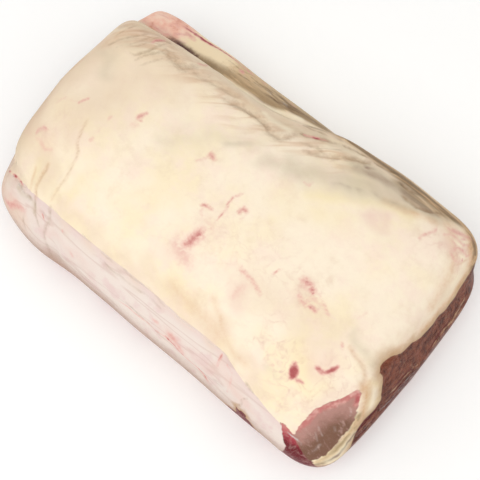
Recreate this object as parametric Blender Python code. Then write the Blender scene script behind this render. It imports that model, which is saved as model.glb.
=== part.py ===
"""Raw beef ribeye roll in a tight clear vacuum bag: one closed solid.

The roll lies on its rib side. +X runs along the roll to the trimmed end, +Y to the lip,
which is the low ledge beside the fat cover, and +Z is up. The origin is at the middle of
the base. The skin of a box cage is pushed outward along rays from a core until it meets
the form of the roll, and then takes the relief that the bag is drawn down over.
"""

import bmesh
import bpy
import numpy as np
from mathutils import Vector

# Driving dimensions of the whole roll, in metres.
LENGTH = 0.367
WIDTH = 0.227
HEIGHT = 0.109

HALF_LENGTH = LENGTH / 2
HALF_WIDTH = WIDTH / 2

# How many faces the cage has along, across and up.
CAGE_FACES = (50, 30, 18)
# The cage's rows are closest together at this height, where the lip meets the fat cover.
LIP_ROWS_AT = 0.064
LIP_ROWS_CLOSENESS = 0.45

# The core that the rays start from: its half length and half width, and its two levels.
CORE_HALF_LENGTH = 0.118
CORE_HALF_WIDTH = 0.052
CORE_LEVELS = (0.030, 0.044)

# The fat-covered eye of the roll.
WAIST_HEIGHT = 0.032
BASE_BELOW_FLOOR = 0.004
BASE_POWER = 3.6
FLANK_REACHES = (0.1080, 0.1125)
FLANK_WIDENS = (0.000, 0.110)
FLANK_POWER = 2.35
LIP_SIDE_REACH = 0.1140
LIP_SIDE_POWER = 3.6
EYE_REACH_BESIDE_LIP = 0.0860
EYE_POWER_BESIDE_LIP = 4.8
LIP_FADES = (-0.080, 0.085)
CROWN_DROP = 0.07
NEAR_END_SLANT = 0.060
FAR_END_BULGE = 0.002
FAR_END_SLANTS = (0.075, 0.040)
FACE_LEANS_FROM = 0.095
NEAR_FACE_LEAN = 0.34
FAR_FACE_LEAN = 0.11

# The lip: a slab along the +Y side that is lower than the fat cover.
LIP_CENTRE = (-0.052, 0.068, 0.028)
LIP_REACH_BACK = (0.1235, 0.040, 0.030)
LIP_REACH_FORE = (0.145, 0.0485, 0.0405)
LIP_SECTION_POWER = 4.0
LIP_FAR_POWER = 14.0
LIP_NEAR_POWER = 3.0
GROOVE_ROUNDING = 0.0030

# The trimmed corner where lean shows on top: a plane through three of its corners.
TRIM_INNER = (0.1425, -0.0940, 0.0730)
TRIM_UPPER = (0.1620, -0.0548, 0.0816)
TRIM_OUTER = (0.1655, -0.0998, 0.0462)
TRIM_ROUNDING = 0.0012

# Creases that the bag is drawn down into: width and depth, and the points that they follow.
FLANK_CREASE_WIDTH = 0.010
FLANK_CREASE_DEPTHS = (0.0060, 0.0008)
FLANK_CREASE = (
    (-0.180, -0.066, 0.046),
    (-0.159, -0.080, 0.062),
    (-0.126, -0.085, 0.071),
    (-0.091, -0.087, 0.078),
    (0.034, -0.087, 0.081),
    (0.083, -0.093, 0.079),
    (0.129, -0.103, 0.067),
)
SIDE_CREASE_WIDTH = 0.009
SIDE_CREASE_DEPTH = 0.0018
SIDE_CREASE = (
    (0.006, -0.109, 0.036),
    (0.044, -0.109, 0.046),
    (0.077, -0.110, 0.050),
    (0.110, -0.113, 0.046),
)
FOLD_WIDTH = 0.012
FOLD_DEPTH = 0.0026
FOLD_STEP = 0.0022
FOLD = (
    (-0.096, -0.109, 0.036),
    (-0.102, -0.099, 0.060),
    (-0.109, -0.081, 0.080),
    (-0.108, -0.050, 0.098),
    (-0.112, -0.037, 0.101),
    (-0.124, -0.008, 0.101),
)

# Shallow channels on the underside, where the rib bones were taken out.
RIB_COUNT = 6
RIB_SPACING = 0.050
RIB_CHANNEL_WIDTH = 0.026
RIB_CHANNEL_DEPTH = 0.0026
RIB_CHANNELS_REACH = 0.082
RIB_BOW = 1.1

# Low lumps of the fat, scattered over the roll by a seeded draw.
LUMP_SEED = 12
LUMP_COUNT = 60
LUMP_RADII = (0.015, 0.036)
LUMP_HEIGHT = 0.0030

RAY_REACH = 1.5
RAY_HALVINGS = 34

FAT_COLOUR = (0.90, 0.78, 0.62, 1.0)


def blend(low, high, value):
    """0 where value is under low, 1 over high, and a smooth rise between them."""
    share = np.clip((value - low) / (high - low), 0.0, 1.0)
    return share * share * (3.0 - 2.0 * share)


def mix(first, second, share):
    return first + (second - first) * share


def superblock(points, centre, back, fore, section_power, end_power):
    """Under 0 inside a rounded block that reaches back and fore from its centre."""
    offset = points - np.asarray(centre)
    reach = np.where(offset < 0.0, back, fore)
    along, across, up = (np.abs(offset / reach)).T
    section = (across**section_power + up**section_power) ** (1.0 / section_power)
    return (section**end_power + along**end_power) ** (1.0 / end_power) - 1.0


def eye_block(points):
    """The main mass: domed fat cover, sloping flank, and an upright edge beside the lip."""
    x, y, z = points.T
    beside_lip = 1.0 - blend(*LIP_FADES, x)
    flank = mix(*FLANK_REACHES, blend(*FLANK_WIDENS, x))
    lip_side = mix(LIP_SIDE_REACH, EYE_REACH_BESIDE_LIP, beside_lip)
    crown = (HEIGHT - WAIST_HEIGHT) * (1.0 - CROWN_DROP * (x / HALF_LENGTH) ** 2)
    to_lip = blend(-0.07, 0.07, y)
    to_top = blend(0.040, 0.088, z)
    near = HALF_LENGTH - NEAR_END_SLANT * np.maximum(-y, 0.0)
    to_flank = FAR_END_SLANTS[0] * np.maximum(-y, 0.0) * blend(0.030, 0.060, z)
    far = HALF_LENGTH + FAR_END_BULGE - to_flank - FAR_END_SLANTS[1] * np.maximum(y, 0.0)
    ones = np.ones(len(x))
    back = np.stack([far, flank, ones * (WAIST_HEIGHT + BASE_BELOW_FLOOR)], 1)
    fore = np.stack([near, lip_side, crown], 1)
    lip_side_power = mix(LIP_SIDE_POWER, EYE_POWER_BESIDE_LIP, beside_lip)
    top_power = np.where(y < 0.0, FLANK_POWER, lip_side_power)
    section_power = np.where(z < WAIST_HEIGHT, BASE_POWER, top_power)
    near_power = mix(mix(11.0, 5.8, to_lip), 9.0, to_top)
    far_power = mix(mix(5.8, 4.0, to_top), mix(8.0, 10.0, to_top), to_lip)
    end_power = np.where(x < 0.0, far_power, near_power)
    return crown * superblock(points, (0.0, 0.0, WAIST_HEIGHT), back, fore, section_power, end_power)


def lip_block(points):
    end_power = np.where(points[:, 0] < LIP_CENTRE[0], LIP_FAR_POWER, LIP_NEAR_POWER)
    reaches = (LIP_REACH_BACK, LIP_REACH_FORE)
    return LIP_REACH_FORE[2] * superblock(points, LIP_CENTRE, *reaches, LIP_SECTION_POWER, end_power)


def above_trim(points):
    """The height above the plane of the trimmed corner."""
    inner, upper, outer = (Vector(p) for p in (TRIM_INNER, TRIM_UPPER, TRIM_OUTER))
    normal = (outer - inner).cross(upper - inner).normalized()
    return points @ np.array(normal) - normal.dot(inner)


def joined(first, second, radius):
    """The union of two forms, with the groove between them rounded."""
    return -radius * np.logaddexp(-first / radius, -second / radius)


def trimmed(form, outside, radius):
    """The form without what lies outside, with the edge of the cut rounded."""
    return radius * np.logaddexp(form / radius, outside / radius)


def roll_form(points):
    """Roughly the distance from the surface of the roll, under 0 inside it."""
    x, _, z = points.T
    rise = np.maximum(z - WAIST_HEIGHT, 0.0)
    near = NEAR_FACE_LEAN * blend(FACE_LEANS_FROM, HALF_LENGTH, x)
    far = FAR_FACE_LEAN * blend(FACE_LEANS_FROM, HALF_LENGTH, -x)
    leaning = points.copy()
    leaning[:, 0] += rise * (near - far)
    whole = joined(eye_block(leaning), lip_block(points), GROOVE_ROUNDING)
    return np.maximum(trimmed(whole, above_trim(points), TRIM_ROUNDING), -z)


def push_to_form(cage):
    """Moves each cage point along its ray from the core to the surface of the roll."""
    low = np.array([-CORE_HALF_LENGTH, -CORE_HALF_WIDTH, CORE_LEVELS[0]])
    high = np.array([CORE_HALF_LENGTH, CORE_HALF_WIDTH, CORE_LEVELS[1]])
    start = np.clip(cage, low, high)
    ray = (cage - start) * RAY_REACH
    inside, outside = np.zeros(len(cage)), np.ones(len(cage))
    for _ in range(RAY_HALVINGS):
        middle = (inside + outside) / 2
        within = roll_form(start + ray * middle[:, None]) < 0.0
        inside = np.where(within, middle, inside)
        outside = np.where(within, outside, middle)
    return start + ray * inside[:, None]


def along_path(points, path):
    """For each point: its distance to the path, its share of the way along, and its side in plan."""
    path = np.asarray(path)
    best = np.full(len(points), np.inf)
    share, side = np.zeros(len(points)), np.zeros(len(points))
    pieces = len(path) - 1
    for i, (start, end) in enumerate(zip(path[:-1], path[1:])):
        step = end - start
        t = np.clip((points - start) @ step / (step @ step), 0.0, 1.0)
        gap = points - start - t[:, None] * step
        distance = np.linalg.norm(gap, axis=1)
        nearer = distance < best
        best = np.where(nearer, distance, best)
        share = np.where(nearer, (i + t) / pieces, share)
        side = np.where(nearer, step[0] * gap[:, 1] - step[1] * gap[:, 0], side)
    return best, share, np.sign(side)


def lumps(points):
    """The height of the scattered lumps and hollows at each place, in metres."""
    draw = np.random.default_rng(LUMP_SEED)
    height = np.zeros(len(points))
    for _ in range(LUMP_COUNT):
        place = draw.uniform((-HALF_LENGTH, -HALF_WIDTH, 0.02), (HALF_LENGTH, HALF_WIDTH, HEIGHT))
        radius = draw.uniform(*LUMP_RADII)
        share = np.exp(-(np.linalg.norm(points - place, axis=1) / radius) ** 2)
        height += draw.uniform(-1.0, 1.0) * LUMP_HEIGHT * share
    return height


def furrow(distance, width):
    """1 in the middle of a furrow, falling smoothly to 0 beside it."""
    return np.exp(-2.0 * (distance / width) ** 2)


def relief(points, normals):
    """How far each surface point stands out from the plain form, in metres."""
    distance, share, _ = along_path(points, FLANK_CREASE)
    flank = mix(*FLANK_CREASE_DEPTHS, blend(0.10, 0.45, share)) * furrow(distance, FLANK_CREASE_WIDTH)
    distance, share, _ = along_path(points, SIDE_CREASE)
    low_side = SIDE_CREASE_DEPTH * np.sin(np.pi * share) * furrow(distance, SIDE_CREASE_WIDTH)
    distance, share, side = along_path(points, FOLD)
    fade = 1.0 - blend(0.45, 1.0, share)
    fold = FOLD_DEPTH * fade * furrow(distance, FOLD_WIDTH)
    beyond = blend(0.0, FOLD_WIDTH, distance) * (1.0 - blend(0.030, 0.060, distance))
    step = FOLD_STEP * fade * beyond * (side > 0.0) * blend(0.0, 0.35, normals[:, 2])
    return lumps(points) - np.maximum.reduce([flank, low_side, fold, step])


def rib_channels(points):
    """How far the base is drawn up over each place, in metres."""
    x, y, _ = points.T
    rise = np.zeros(len(points))
    reach = 1.0 - blend(RIB_CHANNELS_REACH * 0.7, RIB_CHANNELS_REACH, np.abs(y))
    for rib in range(RIB_COUNT):
        middle = (rib - (RIB_COUNT - 1) / 2) * RIB_SPACING
        from_middle = x - middle + RIB_BOW * y**2
        rise = np.maximum(rise, 1.0 - blend(0.0, RIB_CHANNEL_WIDTH / 2, np.abs(from_middle)))
    return RIB_CHANNEL_DEPTH * rise * reach


def cut_cage():
    """A unit box cut into a grid on every side."""
    bm = bmesh.new()
    bmesh.ops.create_cube(bm, size=2.0)
    for axis, faces in enumerate(CAGE_FACES):
        across = [other for other in range(3) if other != axis]
        parallel = [
            edge
            for edge in bm.edges
            if all(abs(edge.verts[0].co[other] - edge.verts[1].co[other]) < 1e-6 for other in across)
        ]
        bmesh.ops.subdivide_edges(bm, edges=parallel, cuts=faces - 1, use_grid_fill=True)
    return bm


def cage_points(unit):
    """The unit cage at the roll's size, with its rows closer together at the height of the lip."""
    level = (unit[:, 2] + 1.0) / 2
    crowd = LIP_ROWS_AT / HEIGHT
    level = level - LIP_ROWS_CLOSENESS * (level - crowd) * level * (1.0 - level) * 4.0
    return np.stack([unit[:, 0] * HALF_LENGTH, unit[:, 1] * HALF_WIDTH, level * HEIGHT], 1)


def fitted(points):
    """The points at exactly the driving dimensions, with the middle of their base at the origin."""
    low, high = points.min(axis=0), points.max(axis=0)
    middle = (low + high) / 2
    base = np.array([middle[0], middle[1], low[2]])
    return (points - base) * (np.array([LENGTH, WIDTH, HEIGHT]) / (high - low))


def meat_material():
    material = bpy.data.materials.new("beef_fat")
    material.use_nodes = True
    shader = material.node_tree.nodes["Principled BSDF"]
    shader.inputs["Base Color"].default_value = FAT_COLOUR
    shader.inputs["Roughness"].default_value = 0.38
    shader.inputs["Metallic"].default_value = 0.0
    return material


def build_roll(collection):
    bm = cut_cage()
    mesh = bpy.data.meshes.new("ribeye_roll")
    bm.to_mesh(mesh)
    bm.free()
    unit = np.empty(len(mesh.vertices) * 3)
    mesh.vertices.foreach_get("co", unit)
    points = push_to_form(cage_points(unit.reshape(-1, 3)))
    mesh.vertices.foreach_set("co", points.ravel())
    mesh.update()
    normals = np.empty(len(points) * 3)
    mesh.vertex_normals.foreach_get("vector", normals)
    normals = normals.reshape(-1, 3)
    on_floor = points[:, 2] < 1e-5
    points = points + normals * (relief(points, normals) * ~on_floor)[:, None]
    points[:, 2] += rib_channels(points) * on_floor
    mesh.vertices.foreach_set("co", fitted(points).ravel())
    mesh.update()
    mesh.shade_smooth()
    mesh.materials.append(meat_material())
    roll = bpy.data.objects.new("ribeye_roll", mesh)
    collection.objects.link(roll)
    return roll


def main():
    for existing in list(bpy.data.objects):
        bpy.data.objects.remove(existing)
    collection = bpy.data.collections.new("beef_ribeye_roll")
    bpy.context.scene.collection.children.link(collection)
    build_roll(collection)


main()
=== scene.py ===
"""Raw beef ribeye roll in a tight clear vacuum bag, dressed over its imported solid.

Two pieces stand for the solid: the meat, with its fat cover, lean ends, marks and wrinkles,
and the clear bag that is drawn down over it. Both are pushed out to the same form as the
solid. +X runs to the trimmed end, +Y to the lip, and +Z is up. Lengths are in metres, and in
millimetres under "Marks and zones" and where a comment says so.
"""

import math

import bmesh
import bpy
import numpy as np
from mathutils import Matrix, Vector


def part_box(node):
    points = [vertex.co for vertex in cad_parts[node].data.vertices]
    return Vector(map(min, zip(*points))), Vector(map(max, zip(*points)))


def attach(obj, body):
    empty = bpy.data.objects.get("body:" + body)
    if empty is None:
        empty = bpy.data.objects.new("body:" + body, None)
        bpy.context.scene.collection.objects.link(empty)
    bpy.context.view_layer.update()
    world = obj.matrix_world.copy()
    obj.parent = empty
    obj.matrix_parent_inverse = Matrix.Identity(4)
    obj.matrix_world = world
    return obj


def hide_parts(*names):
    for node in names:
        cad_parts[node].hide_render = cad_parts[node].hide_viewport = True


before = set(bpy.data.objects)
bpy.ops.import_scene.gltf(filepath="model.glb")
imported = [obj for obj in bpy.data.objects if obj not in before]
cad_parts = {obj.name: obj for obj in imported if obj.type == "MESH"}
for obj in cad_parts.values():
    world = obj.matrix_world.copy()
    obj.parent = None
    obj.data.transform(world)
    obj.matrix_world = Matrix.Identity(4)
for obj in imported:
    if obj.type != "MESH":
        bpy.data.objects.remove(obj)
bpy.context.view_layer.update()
LOW, HIGH = (np.array(corner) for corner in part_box("ribeye_roll"))
LENGTH, WIDTH, HEIGHT = HIGH - LOW
HALF_LENGTH = LENGTH / 2
HALF_WIDTH = WIDTH / 2
MM = 0.001
# A length that counts as none.
TINY = 1e-6


# ---------------------------------------------------------------------------
# Camera, floor and light
# ---------------------------------------------------------------------------

CAMERA_AZIMUTH = 39.0
CAMERA_ELEVATION = 69.0
CAMERA_DISTANCE = 0.889
CAMERA_LENS = 85.0
CAMERA_TARGET = Vector((0.0130, -0.0078, 0.0465))

# The floor runs flat to its radius and then bends up into a backdrop all round.
FLOOR_RADIUS = 2.4
BACKDROP_BEND = 1.2
BACKDROP_HEIGHT = 2.0
BACKDROP_BEND_STEP = 6
FLOOR_SIDES = 96
FLOOR_HOLE = 0.01
FLOOR_COLOUR = (0.93, 0.93, 0.925, 1.0)
FLOOR_ROUGHNESS = 0.9
FLOOR_GLOW = 0.12
WORLD_COLOUR = (1.0, 0.99, 0.97, 1.0)
WORLD_STRENGTH = 0.66
# Each soft box: azimuth and elevation in degrees, distance, side in metres, and watts.
SOFT_BOXES = {
    "key": (5.0, 58.0, 1.6, 1.3, 9.0),
    "top": (60.0, 80.0, 1.5, 1.3, 2.5),
}
LIGHT_TARGET = Vector((0.0, 0.0, 0.05))


def direction(azimuth, elevation):
    """A unit vector towards a place seen at that azimuth and elevation from the roll."""
    a, e = math.radians(azimuth), math.radians(elevation)
    return Vector((math.sin(a) * math.cos(e), -math.cos(a) * math.cos(e), math.sin(e)))


def aim(thing, azimuth, elevation, distance, target):
    """Puts a camera or a lamp that far from its target, facing it."""
    way = direction(azimuth, elevation)
    thing.location = target + way * distance
    thing.rotation_euler = way.to_track_quat("Z", "Y").to_euler()
    bpy.context.scene.collection.objects.link(thing)


def place_camera():
    lens = bpy.data.cameras.new("camera")
    lens.lens = CAMERA_LENS
    camera = bpy.data.objects.new("camera", lens)
    aim(camera, CAMERA_AZIMUTH, CAMERA_ELEVATION, CAMERA_DISTANCE, CAMERA_TARGET)
    bpy.context.scene.camera = camera


def light_studio():
    for name, (azimuth, elevation, distance, side, watts) in SOFT_BOXES.items():
        lamp = bpy.data.lights.new(name, "AREA")
        lamp.shape = "SQUARE"
        lamp.size = side
        lamp.energy = watts
        aim(bpy.data.objects.new(name, lamp), azimuth, elevation, distance, LIGHT_TARGET)
    world = bpy.data.worlds.new("studio")
    world.use_nodes = True
    background = world.node_tree.nodes["Background"]
    background.inputs["Color"].default_value = WORLD_COLOUR
    background.inputs["Strength"].default_value = WORLD_STRENGTH
    bpy.context.scene.world = world
    bpy.context.scene.view_settings.view_transform = "Standard"


def floor_paint():
    material = bpy.data.materials.new("floor_paint")
    material.use_nodes = True
    shader = material.node_tree.nodes["Principled BSDF"]
    shader.inputs["Base Color"].default_value = FLOOR_COLOUR
    shader.inputs["Roughness"].default_value = FLOOR_ROUGHNESS
    shader.inputs["Emission Color"].default_value = FLOOR_COLOUR
    shader.inputs["Emission Strength"].default_value = FLOOR_GLOW
    return material


def lay_floor():
    bm = bmesh.new()
    bend = [math.radians(angle) for angle in range(0, 91, BACKDROP_BEND_STEP)]
    profile = [(FLOOR_HOLE, 0.0)]
    profile += [
        (FLOOR_RADIUS + BACKDROP_BEND * math.sin(a), BACKDROP_BEND * (1.0 - math.cos(a))) for a in bend
    ]
    profile.append((FLOOR_RADIUS + BACKDROP_BEND, BACKDROP_HEIGHT))
    corners = [bm.verts.new((radius, 0.0, height)) for radius, height in profile]
    edges = [bm.edges.new(pair) for pair in zip(corners[:-1], corners[1:])]
    turn = {"axis": (0, 0, 1), "cent": (0, 0, 0), "angle": 2 * math.pi, "use_merge": True}
    bmesh.ops.spin(bm, geom=corners + edges, steps=FLOOR_SIDES, **turn)
    # The backdrop stays open above, and the hole that the spin leaves in the middle is closed.
    rims = [edge for edge in bm.edges if edge.is_boundary]
    bmesh.ops.holes_fill(bm, edges=[edge for edge in rims if edge.verts[0].co.z < BACKDROP_HEIGHT / 2])
    bmesh.ops.recalc_face_normals(bm, faces=bm.faces[:])
    mesh = bpy.data.meshes.new("floor")
    bm.to_mesh(mesh)
    bm.free()
    mesh.materials.append(floor_paint())
    floor = bpy.data.objects.new("floor", mesh)
    bpy.context.scene.collection.objects.link(floor)


# ---------------------------------------------------------------------------
# Shader maths
# ---------------------------------------------------------------------------


class Value:
    """A socket that takes part in arithmetic, each operation adding a Math node."""

    def __init__(self, graph, socket):
        self.graph = graph
        self.socket = socket

    def math(self, operation, *operands):
        return self.graph.node("ShaderNodeMath", {"operation": operation}, dict(enumerate(operands)))

    def __add__(self, other):
        return self.math("ADD", self, other)

    def __radd__(self, other):
        return self.math("ADD", other, self)

    def __sub__(self, other):
        return self.math("SUBTRACT", self, other)

    def __rsub__(self, other):
        return self.math("SUBTRACT", other, self)

    def __mul__(self, other):
        return self.math("MULTIPLY", self, other)

    def __rmul__(self, other):
        return self.math("MULTIPLY", other, self)

    def __abs__(self):
        return self.math("ABSOLUTE", self)

    def rise(self, low, high):
        """0 under low, 1 over high, smooth between."""
        settings = {"interpolation_type": "SMOOTHSTEP"}
        return self.graph.node("ShaderNodeMapRange", settings, {0: self, 1: low, 2: high})

    def over(self, other):
        return self.math("MAXIMUM", self, other)

    def under(self, other):
        return self.math("MINIMUM", self, other)


class Graph:
    """The node tree of one material."""

    def __init__(self, name):
        self.material = bpy.data.materials.new(name)
        self.material.use_nodes = True
        self.tree = self.material.node_tree
        self.tree.nodes.clear()
        self.place = self.node("ShaderNodeTexCoord", {}, {}, "Object")

    def node(self, kind, settings, sockets, output=0):
        """Adds a node with its settings, and with the values or links of its sockets."""
        made = self.tree.nodes.new(kind)
        for setting, value in settings.items():
            setattr(made, setting, value)
        for socket, value in sockets.items():
            if isinstance(value, Value):
                self.tree.links.new(value.socket, made.inputs[socket])
            else:
                made.inputs[socket].default_value = value
        return Value(self, made.outputs[output])

    def field(self, name):
        """A field that the mesh carries."""
        return self.node("ShaderNodeAttribute", {"attribute_name": name}, {}, "Fac")

    def noise(self, scale, detail=3.0, stretch=(1, 1, 1), turn=0.0, roughness=0.55, distortion=0.0):
        """Noise from 0 to 1 with about that many lumps to a metre, drawn out along an axis under 1."""
        turned = self.node("ShaderNodeMapping", {}, {"Vector": self.place, "Rotation": (0, 0, turn)})
        spot = self.node("ShaderNodeMapping", {}, {"Vector": turned, "Scale": stretch})
        sockets = {"Scale": scale, "Detail": detail, "Roughness": roughness, "Distortion": distortion}
        return self.node("ShaderNodeTexNoise", {}, {"Vector": spot, **sockets}, "Fac")

    def threads(self, scale, width, **ways):
        """1 on thin wandering lines in noise of that scale, and 0 between them."""
        return 1.0 - abs(self.noise(scale, 2, **ways) - 0.5).rise(0.0, width)

    def stroked(self, name, ragged):
        """How much of a table of strokes shows, from 0 to 1."""
        return (self.field(name) + ragged).rise(-1.0, 1.0) * self.field(name + "_strength")

    def mixed(self, first, second, share):
        """One colour laid over another."""
        sockets = {0: share, 6: first, 7: second}
        return self.node("ShaderNodeMix", {"data_type": "RGBA"}, sockets, 2)

    def bump(self, height, distance):
        """A normal bent by a height from 0 to 1, which stands for that distance in metres."""
        return self.node("ShaderNodeBump", {}, {"Height": height, "Distance": distance})

    def finish(self, surface):
        output = self.tree.nodes.new("ShaderNodeOutputMaterial")
        self.tree.links.new(surface.socket, output.inputs["Surface"])
        return self.material


def tone(red, green, blue):
    """A colour as it looks on a screen, each channel from 0 to 255, as light."""
    shares = (channel / 255 for channel in (red, green, blue))
    return (*(s / 12.92 if s <= 0.04045 else ((s + 0.055) / 1.055) ** 2.4 for s in shares), 1.0)


# ---------------------------------------------------------------------------
# The form of the roll, as in the solid
# ---------------------------------------------------------------------------

# How many faces a cage has along, across and up, and into how many each is cut again.
CAGE_FACES = (50, 30, 18)
MEAT_FINENESS = 4
BAG_FINENESS = 4
# The cage's rows are closest together at this height, where the lip meets the fat cover.
LIP_ROWS_AT = 0.064
LIP_ROWS_CLOSENESS = 1.8

# The core that the rays start from: its half length and half width, and its two levels.
CORE_HALF_LENGTH = 0.118
CORE_HALF_WIDTH = 0.052
CORE_LEVELS = (0.030, 0.044)

# The fat-covered eye of the roll, a rounded block whose powers say how square it is.
WAIST_HEIGHT = 0.032
BASE_BELOW_FLOOR = 0.004
BASE_POWER = 3.6
FLANK_REACHES = (0.1080, 0.1125)
FLANK_WIDENS = (0.000, 0.110)
FLANK_POWER = 2.35
LIP_SIDE_REACH = 0.1140
LIP_SIDE_POWER = 3.6
EYE_REACH_BESIDE_LIP = 0.0860
EYE_POWER_BESIDE_LIP = 4.8
LIP_FADES = (-0.080, 0.085)
CROWN_DROP = 0.07
# The near end slants back towards the flank, and the far end towards the flank, from these
# heights up, and towards the lip side.
NEAR_END_SLANT = 0.060
FAR_END_BULGE = 0.002
FAR_END_SLANTS = (0.075, 0.040)
FLANK_SLANT_FROM = (0.030, 0.060)
# The powers of the ends change from the flank to the lip side, and from low down to the top.
ENDS_CHANGE_ACROSS = (-0.070, 0.070)
ENDS_CHANGE_UP = (0.040, 0.088)
NEAR_END_POWERS = (11.0, 5.8)
NEAR_END_TOP_POWER = 9.0
FAR_END_FLANK_POWERS = (5.8, 4.0)
FAR_END_LIP_POWERS = (8.0, 10.0)
# Both end faces lean back as they rise.
FACE_LEANS_FROM = 0.095
NEAR_FACE_LEAN = 0.34
FAR_FACE_LEAN = 0.11

# The lip: a slab along the +Y side that is lower than the fat cover.
LIP_CENTRE = (-0.052, 0.068, 0.028)
LIP_REACH_BACK = (0.1235, 0.040, 0.030)
LIP_REACH_FORE = (0.145, 0.0485, 0.0405)
LIP_SECTION_POWER = 4.0
LIP_FAR_POWER = 14.0
LIP_NEAR_POWER = 3.0
GROOVE_ROUNDING = 0.0030

# The trimmed corner where lean shows on top: a plane through three of its corners.
TRIM_INNER = (0.1425, -0.0940, 0.0730)
TRIM_UPPER = (0.1620, -0.0548, 0.0816)
TRIM_OUTER = (0.1655, -0.0998, 0.0462)
TRIM_ROUNDING = 0.0012

# Creases that the bag is drawn down into: width, depth, the shares of the way along between
# which it fades, and the points that they follow.
FLANK_CREASE_WIDTH = 0.010
FLANK_CREASE_DEPTHS = (0.0060, 0.0008)
FLANK_CREASE_FADES = (0.10, 0.45)
FLANK_CREASE = (
    (-0.180, -0.066, 0.046),
    (-0.159, -0.080, 0.062),
    (-0.126, -0.085, 0.071),
    (-0.091, -0.087, 0.078),
    (0.034, -0.087, 0.081),
    (0.083, -0.093, 0.079),
    (0.129, -0.103, 0.067),
)
SIDE_CREASE_WIDTH = 0.009
SIDE_CREASE_DEPTH = 0.0018
SIDE_CREASE = (
    (0.006, -0.109, 0.036),
    (0.044, -0.109, 0.046),
    (0.077, -0.110, 0.050),
    (0.110, -0.113, 0.046),
)
FOLD_WIDTH = 0.012
FOLD_DEPTH = 0.0026
FOLD_STEP = 0.0022
FOLD_FADES = (0.45, 1.0)
FOLD_STEP_ENDS = (0.030, 0.060)
FOLD_STEP_FACES_UP = (0.0, 0.35)
FOLD = (
    (-0.096, -0.109, 0.036),
    (-0.102, -0.099, 0.060),
    (-0.109, -0.081, 0.080),
    (-0.108, -0.050, 0.098),
    (-0.112, -0.037, 0.101),
    (-0.124, -0.008, 0.101),
)

# Shallow channels on the underside, where the rib bones were taken out.
RIB_COUNT = 6
RIB_SPACING = 0.050
RIB_CHANNEL_WIDTH = 0.026
RIB_CHANNEL_DEPTH = 0.0026
RIB_CHANNELS_END = (0.0574, 0.082)
RIB_BOW = 1.1

# Low lumps of the fat, scattered over the roll by a seeded draw.
LUMP_SEED = 12
LUMP_COUNT = 60
LUMP_RADII = (0.015, 0.036)
LUMP_HEIGHT = 0.0030
LUMPS_ABOVE = 0.02

# Small pulls of the drawn-down bag: the middle of each, its radius, and its shift.
PULLS = {
    "far end": ((-0.172, -0.050, 0.066), 0.026, (-0.0030, 0.0, 0.0005)),
    "nub": ((-0.180, -0.080, 0.040), 0.016, (0.0022, 0.0, 0.0)),
    "far corner": ((-0.168, 0.040, 0.094), 0.022, (0.0018, 0.0, -0.0006)),
    "flap tip": ((-0.165, 0.074, 0.086), 0.014, (-0.0018, 0.0025, 0.0012)),
    "lip tip": ((-0.184, 0.098, 0.056), 0.016, (0.0045, 0.0, 0.0)),
    "lip side": ((-0.140, 0.108, 0.060), 0.024, (0.0, 0.0022, 0.0)),
    "rim bow": ((0.036, 0.098, 0.086), 0.022, (0.0, 0.0018, 0.0)),
    "rim": ((0.124, 0.100, 0.085), 0.026, (0.0, -0.0024, 0.0)),
    "near corner": ((0.166, 0.088, 0.074), 0.020, (0.0022, 0.0012, 0.0)),
    "near end": ((0.184, 0.052, 0.040), 0.026, (-0.0020, 0.0, 0.0)),
    "under trim": ((0.150, -0.112, 0.036), 0.022, (0.0, -0.0026, -0.0008)),
}

# The heights between which the pulls fade out towards the floor.
PULLS_FADE = (0.002, 0.020)

# Each ray reaches this many times as far as the cage, and is halved this often.
RAY_REACH = 1.5
RAY_HALVINGS = 30
# A place lower than this lies on the floor.
FLOOR_SKIN = 1e-5
# How far the meat lies inside the bag.
BAG_GAP = 0.0003


def blend(low, high, value):
    """0 where value is under low, 1 over high, and a smooth rise between them."""
    share = np.clip((value - low) / (high - low), 0.0, 1.0)
    return share * share * (3.0 - 2.0 * share)


def mix(first, second, share):
    """The first value at a share of 0, and the second at 1."""
    return first + (second - first) * share


def superblock(points, centre, back, fore, section_power, end_power):
    """Under 0 inside a rounded block that reaches back and fore from its centre."""
    offset = points - np.asarray(centre)
    reach = np.where(offset < 0.0, back, fore)
    along, across, up = (np.abs(offset / reach)).T
    section = (across**section_power + up**section_power) ** (1.0 / section_power)
    return (section**end_power + along**end_power) ** (1.0 / end_power) - 1.0


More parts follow.
